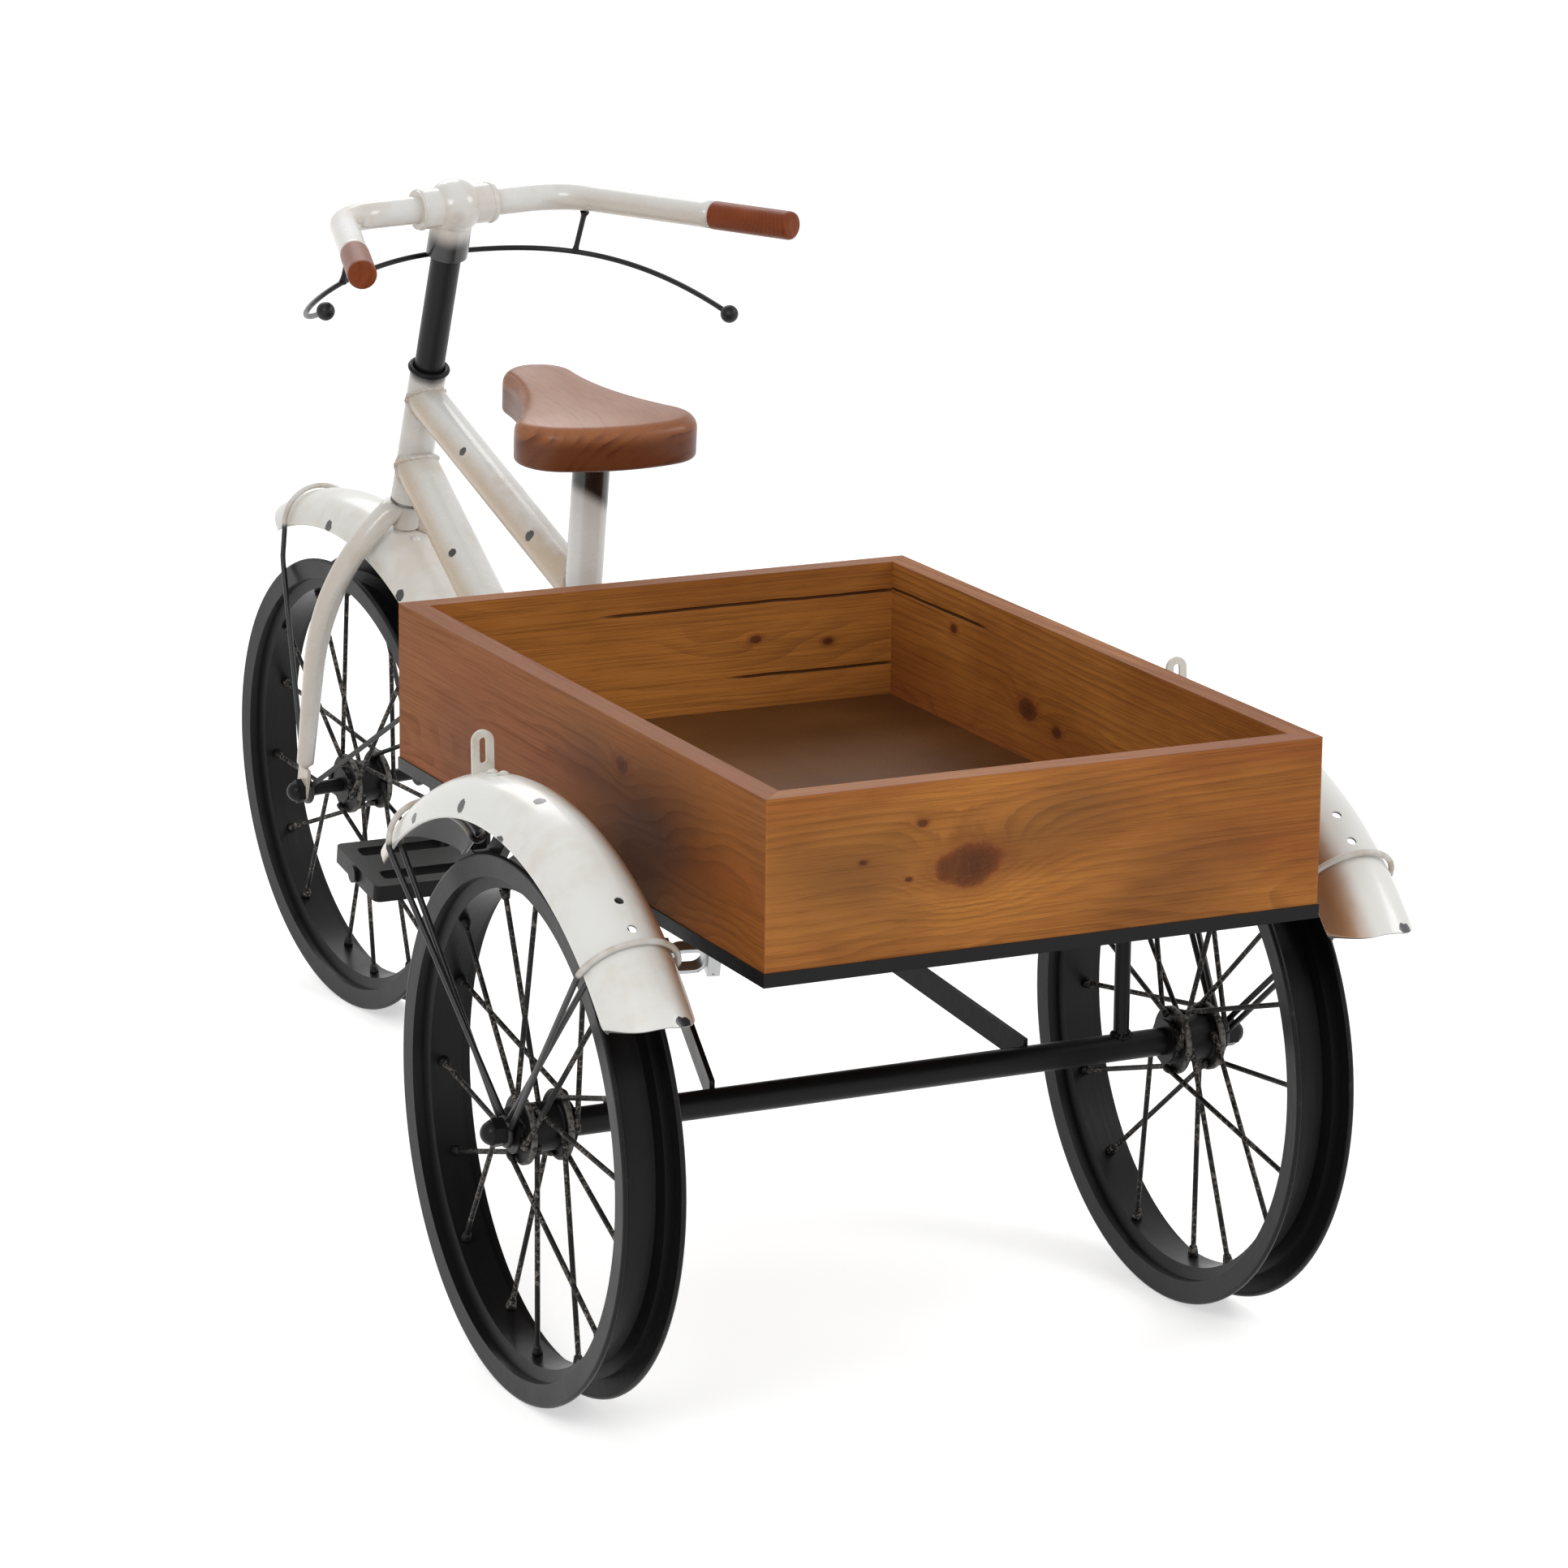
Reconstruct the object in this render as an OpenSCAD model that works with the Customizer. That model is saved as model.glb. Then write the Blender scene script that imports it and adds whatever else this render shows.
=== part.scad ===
// Three wheeled delivery cycle that stands as a planter: a crate on two rear wheels, a steered
// front wheel, a fixed wooden saddle, swept handlebar, cranks and pedals.
// X points to the rider's right, Y points forward, Z points up, all sizes in millimetres.

/* [Wheels] */
// Outside radius of each wheel, over the rim lips
wheel_r = 200; // [185:1:215]
// Width of a rim across its lips
rim_w = 48; // [42:1:54]
// Depth of a rim from its lips down to the centre bed
rim_depth = 24; // [20:1:28]
// Depth of the shoulder where a tyre bead would sit
rim_shoulder = 15; // [12:1:18]
// Width of the centre bed
rim_bed_w = 22; // [16:1:24]
// Sheet thickness of a rim
rim_t = 2.5; // [1.5:0.5:3]
// Diameter of the rolled edge on each rim lip
lip_d = 4.4; // [4:0.2:6]
// Spokes in a wheel
spoke_count = 16; // [8:4:20]
// Diameter of a spoke
spoke_d = 4; // [2.5:0.5:4.5]
// Angle by which a spoke leads or trails its straight radial line at the hub
spoke_lead = 64; // [30:1:75]
// Angle of the front wheel's first spoke, from straight ahead
front_phase = 18; // [0:0.5:90]
// Angle of the left wheel's first spoke, from straight ahead
left_phase = 22.5; // [0:0.5:90]
// Angle of the right wheel's first spoke, from straight ahead
right_phase = 88.5; // [0:0.5:90]
// Diameter of the hub flanges
flange_d = 52; // [44:1:60]
// Thickness of a hub flange
flange_t = 5; // [3:0.5:7]
// Distance across the outer faces of the two hub flanges
flange_span = 34; // [28:1:38]
// Diameter of the hub barrel between the flanges
barrel_d = 36; // [30:1:40]
// Length of a hub over its end faces
hub_len = 42; // [40:1:50]
// Diameter of the hub's end faces
hub_face_d = 30; // [28:1:34]

/* [Axles] */
// Distance between the middle planes of the two rear wheels
rear_track = 535.4; // [525:0.1:560]
// Outside diameter of the tube between the rear wheels
axle_tube_d = 21; // [18:1:26]
// Diameter of the rod that carries the rear wheels
rear_rod_d = 12; // [10:1:13]
// Diameter of the front axle rod
front_rod_d = 9; // [8:1:10]
// Radial clearance of every turning fit
run_clear = 0.05; // [0.02:0.01:0.1]
// Gap left at each side of a part that turns between two faces
end_play = 0.3; // [0.2:0.1:0.5]
// Diameter of the axle washers
washer_d = 34; // [30:1:38]
// Thickness of the axle washers
washer_t = 1.8; // [1:0.1:3]
// Width of the axle nuts across their flats
nut_af = 19; // [17:1:22]
// Height of the six sided part of an axle nut
nut_h = 10; // [8:1:12]
// Diameter of the dome on an axle nut
dome_d = 18; // [15:1:19]

/* [Frame] */
// Distance from the rear axle to the front axle
wheelbase = 967; // [950:1:1010]
// Height of the lower end of the head tube above the ground
head_z = 468; // [460:1:490]
// Distance of the lower end of the head tube in front of the rear axle
head_y = 893; // [880:1:905]
// Tilt of the steering axis back from vertical
head_tilt = 21.1; // [19:0.1:23]
// Length of the head tube
head_len = 126; // [115:1:140]
// Outside diameter of the head tube
head_d = 31; // [30:1:38]
// Wall of the frame tubes
tube_wall = 1.6; // [1.2:0.1:2.4]
// Outside diameter of the top tube
top_tube_d = 32; // [24:1:34]
// Distance of the top tube's middle below the upper end of the head tube
top_tube_drop = 26; // [20:1:32]
// Height at which the top tube meets the seat tube
top_tube_z = 459; // [440:1:480]
// Outside diameter of the down tube
down_tube_d = 37; // [30:1:38]
// Distance of the down tube's middle below the upper end of the head tube
down_tube_drop = 90; // [80:1:100]
// Height of the down tube's foot on the seat tube above the crank shell's middle
down_tube_rise = 17; // [14:1:30]
// Outside diameter of the seat tube
seat_tube_d = 30; // [26:1:32]
// Tilt of the seat tube back from vertical
seat_tilt = 8.5; // [6:0.5:11]
// Distance of the crank shell in front of the rear axle
shell_y = 552; // [540:1:565]
// Height of the crank shell above the ground
shell_z = 285; // [278:1:295]
// Outside diameter of the crank shell
shell_d = 40; // [38:1:44]
// Width of the crank shell
shell_len = 68; // [60:1:76]
// Wall of the crank shell
shell_wall = 3.5; // [2.5:0.5:5]
// Wire diameter of the ring on top of the head tube
ring_wire_d = 5; // [4:0.5:6]
// Wall of the plain bushes
bush_wall = 2; // [1.2:0.1:3]
// Length of the plain bushes
bush_len = 14; // [10:1:20]

/* [Steering] */
// Angle by which the front wheel stands turned to the left at rest
steer_angle = 4.5; // [0:0.5:10]
// Outside diameter of the steering column
steerer_d = 25.4; // [24:0.1:26]
// Bore of the steering column
steerer_bore_d = 20; // [18:0.5:21]
// Thickness of the spacer between the column's foot and the front fender
crown_spacer = 3; // [2:0.5:4]
// Diameter of the bolt that holds the front fender to the column
crown_bolt_d = 8; // [6:1:10]
// Distance of the handlebar ball above the lower end of the head tube, along the axis
ball_rise = 285; // [270:1:300]
// Diameter of the ball that joins stem and handlebar
ball_d = 46; // [43:1:50]
// Diameter of the ferrules beside the ball
ferrule_d = 33; // [28:1:36]
// Reach of a ferrule from the ball's middle
ferrule_reach = 35; // [31:1:42]
// Diameter of the sleeve under the ball
sleeve_d = 35; // [31:1:38]
// Reach of the sleeve below the ball's middle
sleeve_reach = 45; // [41:1:50]
// Sideways distance of each fork blade's straight part from the middle
fork_spread = 58; // [50:0.5:62]
// Distance by which the front axle stands to the left of the head tube
fork_set = 18; // [0:1:24]
// Bend radius of the fork blades below the crown
fork_bend_r = 252; // [225:1:275]
// Length of a fork blade's straight lower part
fork_straight = 123; // [105:1:140]
// Diameter of a fork blade at its thickest
blade_d = 20.5; // [18:0.5:22]
// Diameter of a fork blade at its lower end
blade_tip_d = 15; // [12:0.5:16]
// Thickness of the fork's dropout plates
dropout_t = 3; // [2:0.5:4]
// Width of the fork's dropout plates
dropout_w = 18; // [16:1:24]

/* [Handlebar] */
// Outside diameter of the handlebar
bar_d = 23; // [22:0.5:24]
// Wall of the handlebar tube
bar_wall = 1.8; // [1.2:0.1:2.5]
// Sideways distance of a grip's end from the middle
bar_half = 195; // [180:1:210]
// Distance of a grip's end behind the ball's middle
bar_back = 225; // [205:1:240]
// Angle by which the grips point outward
grip_splay = 22; // [15:1:28]
// Angle by which the handlebar drops toward its grips
bar_tilt = 1.1; // [0:0.1:3]
// Bend radius of the handlebar
bar_bend_r = 50; // [40:1:60]
// Length of a wooden grip outside the tube
grip_len = 81; // [70:1:95]
// Length of a grip's spigot inside the tube
spigot_len = 25; // [15:1:35]
// Wire diameter of the brake rod
rod_wire_d = 4.6; // [4:0.2:6]
// Diameter of the knobs on the brake rod
knob_d = 15; // [12:0.5:18]
// Sideways distance of the left knob from the middle
knob_half_left = 192; // [180:1:200]
// Sideways distance of the right knob from the middle
knob_half_right = 177; // [165:1:190]
// Distance of a knob behind the ball's middle
knob_back = 150; // [135:1:160]
// Distance of the left knob below the handlebar
knob_drop_left = 42; // [30:1:60]
// How far the brake rod's left half dips on its way to the knob
rod_dip_left = 44; // [0:1:50]
// Distance of the right knob below the handlebar
knob_drop_right = 84; // [70:1:90]
// Distance of the brake rod below the ball's middle where it touches the steering column
rod_drop = 45; // [45:1:60]

/* [Fenders] */
// Radius of a fender along its crown
fender_r = 309.1; // [295:0.1:325]
// Width of a fender
fender_w = 66.8; // [62:0.1:72]
// Height of a fender's arch from its edges to its crown
fender_rise = 27.4; // [20:0.1:29]
// Sheet thickness of a fender
fender_t = 2; // [1.5:0.5:2.5]
// Angle that each rear fender spans
rear_fender_span = 95.5; // [80:0.1:100]
// Angle that the front fender spans
front_fender_span = 81; // [76:0.5:84]
// Angle of a rear fender's front end, from straight ahead
rear_fender_start = 45; // [42:0.1:52]
// Angle of the front fender's front end, from straight ahead
front_fender_start = 64; // [60:0.5:68]
// Distance of the rear fenders' arc centre in front of the axle
rear_fender_lead = -14.4; // [-20:0.1:10]
// Distance by which a rear fender stands outboard of its wheel's middle
rear_fender_out = 16.4; // [10:0.1:20]
// Distance of the front fender's arc centre in front of the axle
front_fender_lead = 23.4; // [14:0.1:30]
// Gap between a rear wheel and its fender's crown, over the axle
rear_fender_gap = 58.9; // [50:0.1:66]
// Gap between the front wheel and its fender's crown, over the axle
front_fender_gap = 51.8; // [48:0.1:58]
// Diameter of the rolled bead along a fender's edges
bead_d = 3.6; // [3:0.2:5]
// Radius of the fenders' rounded corners
fender_corner = 24; // [8:1:28]
// Radius of the front fender's round tip
fender_tip_r = 33; // [20:1:33]
// Wire diameter of the fender stays
stay_d = 4.6; // [4:0.2:5]
// Width of the slotted tab on a rear fender
tab_w = 17; // [12:1:18]
// Angle by which the slotted tab leans back from the fender's radius
tab_lean = 12; // [0:1:16]
// Height of the slotted tab above the fender
tab_h = 31; // [28:1:36]
// Thickness of the slotted tab
tab_t = 2.5; // [2:0.5:3]
// Width of the slot in the tab
tab_slot_w = 5.5; // [4:0.5:7]
// Length of the slot in the tab
tab_slot_len = 19; // [14:1:22]
// Diameter of the two round holes in each rear fender
fender_hole_d = 7; // [5:0.5:9]

/* [Crate] */
// Width of the crate over its boards
crate_w = 432.6; // [420:0.1:440]
// Length of the crate over its boards
crate_l = 648.2; // [620:0.1:670]
// Height of the crate's boards
crate_h = 121.5; // [100:0.5:150]
// Thickness of the crate's boards
board_t = 18; // [14:0.5:20]
// Thickness of the crate's floor panel
floor_t = 14; // [9:0.5:16]
// Height of the crate's lower edge above the ground
crate_z = 378; // [372:1:386]
// Overhang of the crate behind the rear axle
crate_rear = 261.3; // [240:0.1:275]
// Height of the tray rails' visible legs
rail_h = 10; // [8:0.5:12]
// Width of the tray rails' flat legs
rail_w = 28; // [25:1:34]
// Thickness of the tray rails' legs
rail_t = 3; // [2.5:0.5:4]
// Distance by which the rails stand proud of the boards
rail_proud = 1; // [0.5:0.5:2]
// Width of the cross bars under the floor
cross_w = 25; // [20:1:30]
// Thickness of the cross bars under the floor
cross_t = 4; // [3:0.5:5]
// Diameter of the two posts on the axle tube
post_d = 12; // [10:1:14]
// Side of the square tube that joins tray and seat tube
link_d = 20; // [16:1:24]
// Height of the flat stay straps
strap_h = 20; // [16:1:24]
// Thickness of the flat stay straps
strap_t = 4; // [3:0.5:5]
// Sideways distance of a strap's rear end from the middle
strap_half = 130; // [115:1:145]
// Height of a strap's middle over the axle tube's middle, at the axle tube
strap_lift = 4; // [0:0.5:8]
// Height at which the left strap meets the seat tube
strap_top_left = 395; // [380:1:402]
// Height at which the right strap meets the seat tube
strap_top_right = 327; // [320:1:340]
// Shank diameter of the wood screws
screw_d = 4; // [3:0.5:5]
// Length of a wood screw inside the wood
screw_depth = 22; // [15:1:24]

/* [Saddle] */
// Half of the saddle's width at its widest
saddle_half = 75; // [66:1:80]
// Half of the saddle's width at the nose
nose_half = 31; // [26:1:34]
// Length of the saddle
saddle_len = 220; // [200:1:240]
// Thickness of the saddle
saddle_t = 35; // [30:1:40]
// Radius of the saddle's rear corners
saddle_corner_r = 36; // [30:1:42]
// Radius of the saddle's rear edge
saddle_rear_r = 160; // [140:1:200]
// Rounding of the saddle's upper edge
saddle_round = 11; // [6:1:13]
// Distance of the saddle's rear edge behind the seat tube's top
saddle_back = 70; // [60:1:80]
// Height of the saddle's underside over the seat tube, above the ground
saddle_z = 580; // [570:1:595]
// Tilt of the saddle, nose up
saddle_tilt = 4; // [0:0.5:6]
// Angle by which the saddle is turned to the right
saddle_turn = 3; // [0:0.5:5]
// Thickness of the plate under the saddle
plate_t = 3; // [2:0.5:5]
// Width of the plate under the saddle
plate_w = 60; // [50:1:70]
// Length of the plate under the saddle
plate_l = 90; // [80:1:100]

/* [Cranks and pedals] */
// Length of a crank between its two holes
crank_len = 85; // [75:1:95]
// Angle of the left crank below straight ahead
crank_angle = 47; // [30:1:60]
// Diameter of the shaft between the cranks
crank_shaft_d = 14; // [12:1:16]
// Thickness of a crank
crank_t = 8; // [6:0.5:10]
// Diameter of a crank's eyes
crank_eye_d = 26; // [22:1:28]
// Diameter of a pedal's pin
pedal_pin_d = 10; // [8:1:11]
// Gap between a crank and its pedal
pedal_gap = 16; // [4:1:18]
// Width of a pedal along its pin
pedal_w = 104; // [90:1:110]
// Length of a pedal across its pin
pedal_l = 90; // [80:1:98]
// Height of a pedal
pedal_h = 14; // [13:1:16]
// Width of the bars of a pedal
pedal_bar = 13; // [10:1:15]
// Width of the two slots in a pedal
pedal_slot = 16; // [12:1:18]
// Tilt of the pedals, rear side down
pedal_tilt = 9; // [0:1:15]

/* [Bare metal bracket] */
// Distance of the bracket along the left strap from the axle
bracket_at = 162; // [130:1:180]
// Width of the bracket's box shaped clamp
bracket_w = 20; // [16:1:24]
// Thickness of the bracket's metal
bracket_t = 3; // [2:0.5:4]
// Length of the bracket from the strap to its channel
bracket_len = 34; // [28:1:40]
// Height of the bracket's plates
bracket_h = 24; // [20:1:30]
// Diameter of the bracket's bolt
bracket_bolt_d = 6; // [5:0.5:8]

/* [Hidden] */
// The names of all pieces
$fn = 64;

// A hair of room between pieces that are welded or pressed together
weld = 0.05;
soft_gap = 0.25;
// Steering axis, pointing up, and the point on it at the head tube's lower end
steer_axis = [0, -sin(head_tilt), cos(head_tilt)];
steer_pivot = [0, head_y, head_z];
ball_at = steer_pivot + ball_rise * steer_axis;

// Rear axle, with the wheels standing on the ground
rear_hub_x = rear_track / 2;
rear_axle_z = wheel_r;
// The turned front wheel leans a little, so its hub is a hair higher than its radius
lean = sin(head_tilt) * sin(steer_angle);
swing = cos(head_tilt) * sin(steer_angle);
// Height of the turned hub over the ground, and the same less what the turn itself adds
turned_hub_z = wheel_r * sqrt(1 - lean * lean) + rim_w / 2 * lean;
front_axle_z = 2 * turned_hub_z - turned([-fork_set, wheelbase, turned_hub_z])[2];
front_hub = [-fork_set, wheelbase, front_axle_z];

// Turns a point about the steering axis by the rest angle
function turned(p) =
    let (v = p - steer_pivot)
    steer_pivot + v * cos(steer_angle) + cross(steer_axis, v) * sin(steer_angle)
    + steer_axis * (v * steer_axis) * (1 - cos(steer_angle));

// The origin is on the ground under the middle of the whole length
front_reach = turned(front_hub)[1] + wheel_r * sqrt(1 - swing * swing) + rim_w / 2 * swing;
rear_reach = crate_rear + rail_proud;
fender_x = rear_hub_x + rear_fender_out;
mid_y = (front_reach - rear_reach) / 2;

module place() { translate([0, -mid_y, 0]) children(); }
module steered() {
    place() translate(steer_pivot) rotate(a = steer_angle, v = steer_axis) translate(-steer_pivot) children();
}
// Moves a shape drawn in X and Y, about Z, to Y and Z, about X
module across() { rotate([90, 0, 90]) children(); }
module on_stem() { translate(steer_pivot) rotate([head_tilt, 0, 0]) children(); }

// A round rod from one point to another
module rod(p, q, d) {
    v = q - p;
    translate(p) rotate([0, acos(v[2] / norm(v)), atan2(v[1], v[0])]) cylinder(d = d, h = norm(v));
}
function unit(v) = v / norm(v);
// A point past b on the line from a
function past(a, b, more) = b + more * unit(b - a);

// Round wire or tapered tube along a list of points; the side vector is never along the path
function heading(path, i) =
    i == 0 ? unit(path[1] - path[0]) :
    i == len(path) - 1 ? unit(path[i] - path[i - 1]) :
    unit(unit(path[i + 1] - path[i]) + unit(path[i] - path[i - 1]));
module swept(path, radii, side, sides) {
    last = len(path) - 1;
    points = [
        for (i = [0:last])
            let (t = heading(path, i), a = unit(cross(side, t)), b = cross(t, a))
            for (k = [0:sides - 1])
                path[i] + radii[i] * (a * cos(360 * k / sides) + b * sin(360 * k / sides))
    ];
    walls = [
        for (i = [0:last - 1]) for (k = [0:sides - 1])
            let (n = (k + 1) % sides)
            [i * sides + k, (i + 1) * sides + k, (i + 1) * sides + n, i * sides + n]
    ];
    ends = [[for (k = [0:sides - 1]) k], [for (k = [sides - 1:-1:0]) last * sides + k]];
    polyhedron(points = points, faces = concat(walls, ends), convexity = 10);
}
// Open tube of even bore along a list of points
module swept_tube(path, r, bore_r, side, sides) {
    last = len(path) - 1;
    inner = (last + 1) * sides;
    points = [
        for (radius = [r, bore_r]) for (i = [0:last])
            let (t = heading(path, i), a = unit(cross(side, t)), b = cross(t, a))
            for (k = [0:sides - 1]) path[i] + radius * (a * cos(360 * k / sides) + b * sin(360 * k / sides))
    ];
    walls = [
        for (i = [0:last - 1]) for (k = [0:sides - 1])
            let (n = (k + 1) % sides)
            each [
                [i * sides + k, (i + 1) * sides + k, (i + 1) * sides + n, i * sides + n],
                [for (v = [i * sides + n, (i + 1) * sides + n, (i + 1) * sides + k, i * sides + k]) inner + v]
            ]
    ];
    ends = [
        for (k = [0:sides - 1])
            let (n = (k + 1) % sides, far = last * sides)
            each [[k, n, inner + n, inner + k], [far + n, far + k, inner + far + k, inner + far + n]]
    ];
    polyhedron(points = points, faces = concat(walls, ends), convexity = 10);
}
function even(n, value) = [for (i = [1:n]) value];
function bezier(p, t) =
    p[0] * pow(1 - t, 3) + p[1] * 3 * t * pow(1 - t, 2) + p[2] * 3 * t * t * (1 - t) + p[3] * pow(t, 3);

// Seat tube line, by height
function seat_y(z) = shell_y - (z - shell_z) * tan(seat_tilt);
function seat_point(z) = [0, seat_y(z), z];
function head_point(drop) = steer_pivot + (head_len - drop) * steer_axis;
shell_at = [0, shell_y, shell_z];
down_foot = seat_point(shell_z + down_tube_rise);
top_foot = seat_point(top_tube_z);

// Crate and tray
crate_front = crate_l - crate_rear;
rail_x = crate_w / 2 + rail_proud;
rail_front = crate_front + rail_proud;
rail_rear = -rear_reach;
rail_top = crate_z;
cross_top = rail_top - rail_t;
cross_y = [-crate_rear + crate_l / 3, -crate_rear + crate_l * 2 / 3];
post_x = rail_x - rail_t - post_d / 2 - weld;
link_top = rail_top - rail_h;

// Rear axle stack, outward from the wheel's middle plane
hub_half = hub_len / 2;
tube_half = rear_hub_x - hub_half - end_play - washer_t;
outer_washer_x = rear_hub_x + hub_half + end_play;
eye_t = stay_d;
eye_x = outer_washer_x + washer_t + weld;
nut_x = eye_x + eye_t + weld;
rod_half = nut_x + nut_h + 2;
eye_d = 24;

// Fender places, in Y and Z
rear_fender_c = [rear_fender_lead, rear_axle_z + wheel_r + rear_fender_gap - fender_r];
front_fender_c = [wheelbase + front_fender_lead, front_axle_z + wheel_r + front_fender_gap - fender_r];
tab_angle = 75.5;
tab_rivets = [78.7, 82.5];
rear_holes = [121, 125.8];
front_rivet_angle = 110.5;
rivet_d = 5;
rear_stay_angles = [54, 128.4];
front_stay_angles = [74, 140];

// Fork blade in its own slanted plane: height along the plane from the hub, and sideways place
blade_top_x = steerer_d / 2 - 3;
blade_top_s = fork_straight + sqrt(pow(fork_bend_r, 2) - pow(fork_bend_r - fork_spread + blade_top_x, 2));
crown_y = head_y + 3;
blade_rise = (head_z - 7) - front_axle_z;
blade_lean = atan((wheelbase - crown_y) / blade_rise);
blade_dir = [0, -sin(blade_lean), cos(blade_lean)];
blade_foot_s = 24;
function blade_at(side, s) = [side * blade_x(s) + blade_set(s), wheelbase, front_axle_z] + s * blade_dir;
function blade_set(s) = -fork_set * (1 - pow(s / blade_top_s, 7));
function blade_x(s) =
    s <= fork_straight ? fork_spread :
    fork_spread - fork_bend_r + sqrt(pow(fork_bend_r, 2) - pow(s - fork_straight, 2));

// Front axle stack, outward from the middle
spacer_x = hub_half + end_play;
dropout_x = fork_spread - dropout_t / 2;
front_eye_x = dropout_x - weld - eye_t;
front_nut_x = fork_spread + dropout_t / 2 + weld;
front_nut_h = nut_h * 0.5;
front_rod_half = front_nut_x + front_nut_h + 2;

// Crank stack
bush_lip = 3;
crank_x = shell_len / 2 + bush_lip + end_play;
pedal_x = crank_x + crank_t + pedal_gap;
left_pedal_at = [0, shell_y + crank_len * cos(crank_angle), shell_z - crank_len * sin(crank_angle)];
right_pedal_at = 2 * shell_at - left_pedal_at;

// Wheels

// Rim section: lips, bead shoulders and a dropped centre bed, open to the outside
function lip_arc(side, angles) = [
    for (a = angles) [
        wheel_r - lip_d / 2 + lip_d / 2 * cos(a), side * (rim_w / 2 - lip_d / 2 + lip_d / 2 * sin(a))
    ]
];
module rim_section() {
    hw = rim_w / 2;
    hb = rim_bed_w / 2;
    shoulder_r = wheel_r - rim_shoulder;
    bed_r = wheel_r - rim_depth;
    polygon(concat(
        lip_arc(1, [90:-30:-120]),
        [[shoulder_r, hw - rim_t - 1], [shoulder_r, hb + 3], [bed_r, hb]],
        [[bed_r, -hb], [shoulder_r, -hb - 3], [shoulder_r, -hw + rim_t + 1]],
        lip_arc(-1, [-120:30:90]),
        [[shoulder_r - rim_t, -hw + 1], [shoulder_r - rim_t, -hb - 3 - rim_t / 2]],
        [[bed_r - rim_t, -hb - rim_t / 2], [bed_r - rim_t, hb + rim_t / 2]],
        [[shoulder_r - rim_t, hb + 3 + rim_t / 2], [shoulder_r - rim_t, hw - 1]]
    ));
}
module rim() { color([0.07, 0.07, 0.075]) across() rotate_extrude($fn = 96) rim_section(); }

// Crossed spokes: outside each flange they lead, inside it they trail
module spokes(phase) {
    bed_in = wheel_r - rim_depth - rim_t;
    r0 = flange_d / 2 - spoke_d - 1;
    r1 = bed_in + rim_t;
    color([0.09, 0.09, 0.09]) across() intersection() {
        for (k = [0:spoke_count - 1]) {
            side = k % 2 == 0 ? 1 : -1;
            lead = floor(k / 2) % 2 == 0 ? 1 : -1;
            rim_a = phase + 360 * k / spoke_count;
            hub_a = rim_a + lead * spoke_lead;
            hub_w = lead > 0 ? flange_span / 2 + spoke_d / 2 + 1.2
                             : flange_span / 2 - flange_t - spoke_d / 2 - 0.1;
            rim_in_w = lead > 0 ? 1.5 * spoke_d : 0.4 * spoke_d;
            rod([r0 * cos(hub_a), r0 * sin(hub_a), side * hub_w],
                [r1 * cos(rim_a), r1 * sin(rim_a), side * rim_in_w], spoke_d);
        }
        translate([0, 0, -rim_w]) cylinder(r = bed_in - weld, h = 2 * rim_w, $fn = 96);
    }
}

// Hub: two flanges on a barrel, with stepped end faces and a plain bore
module hub(bore) {
    fs = flange_span / 2;
    color([0.1, 0.1, 0.1]) across() rotate_extrude() polygon([
        [bore, -hub_half], [hub_face_d / 2, -hub_half], [hub_face_d / 2, -fs],
        [flange_d / 2 - 1, -fs], [flange_d / 2, -fs + 1], [flange_d / 2, -fs + flange_t - 1],
        [flange_d / 2 - 1, -fs + flange_t], [barrel_d / 2 + 1, -fs + flange_t],
        [barrel_d / 2, -fs + flange_t + 1], [barrel_d / 2, fs - flange_t - 1],
        [barrel_d / 2 + 1, fs - flange_t], [flange_d / 2 - 1, fs - flange_t],
        [flange_d / 2, fs - flange_t + 1], [flange_d / 2, fs - 1], [flange_d / 2 - 1, fs],
        [hub_face_d / 2, fs], [hub_face_d / 2, hub_half], [bore, hub_half]
    ]);
}
rear_bore = rear_rod_d / 2 + run_clear;
front_bore = front_rod_d / 2 + run_clear;
module at_left_wheel() { place() translate([-rear_hub_x, 0, rear_axle_z]) children(); }
module at_right_wheel() { place() translate([rear_hub_x, 0, rear_axle_z]) children(); }
module at_front_wheel() { steered() translate(front_hub) children(); }
module rim_front() { at_front_wheel() rim(); }
module rim_left() { at_left_wheel() rim(); }
module rim_right() { at_right_wheel() rim(); }
module spokes_front() { at_front_wheel() spokes(front_phase); }
module spokes_left() { at_left_wheel() spokes(left_phase); }
module spokes_right() { at_right_wheel() spokes(right_phase); }
module hub_front() { at_front_wheel() hub(front_bore); }
module hub_left() { at_left_wheel() hub(rear_bore); }
module hub_right() { at_right_wheel() hub(rear_bore); }

// Axles

// A slice of a ball on the XY plane
module dome(d, h) {
    ball_r = (d * d / 4 + h * h) / (2 * h);
    intersection() {
        translate([0, 0, h - ball_r]) sphere(r = ball_r);
        cylinder(d = d + 1, h = h + 1);
    }
}
// Domed nut along Z, closed at its far end, round a rod that reaches 2 mm into the dome
module nut(h, rod_d) {
    difference() {
        union() {
            cylinder(d = nut_af / cos(30), h = h, $fn = 6);
            translate([0, 0, h - 0.5]) dome(dome_d, dome_d / 2 - 0.5);
        }
        translate([0, 0, -1]) cylinder(d = rod_d + 2 * weld, h = h + 3 + weld);
    }
}
// Plain ring along Z
module ring(outer, inner, h) {
    difference() {
        cylinder(d = outer, h = h);
        translate([0, 0, -1]) cylinder(d = inner, h = h + 2);
    }
}
// Both sides of the middle plane, with Z turned to point outward along X
module both_sides() { for (side = [0, 1]) mirror([side, 0, 0]) rotate([0, 90, 0]) children(); }
module at_rear_axle() { place() translate([0, 0, rear_axle_z]) children(); }

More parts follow.
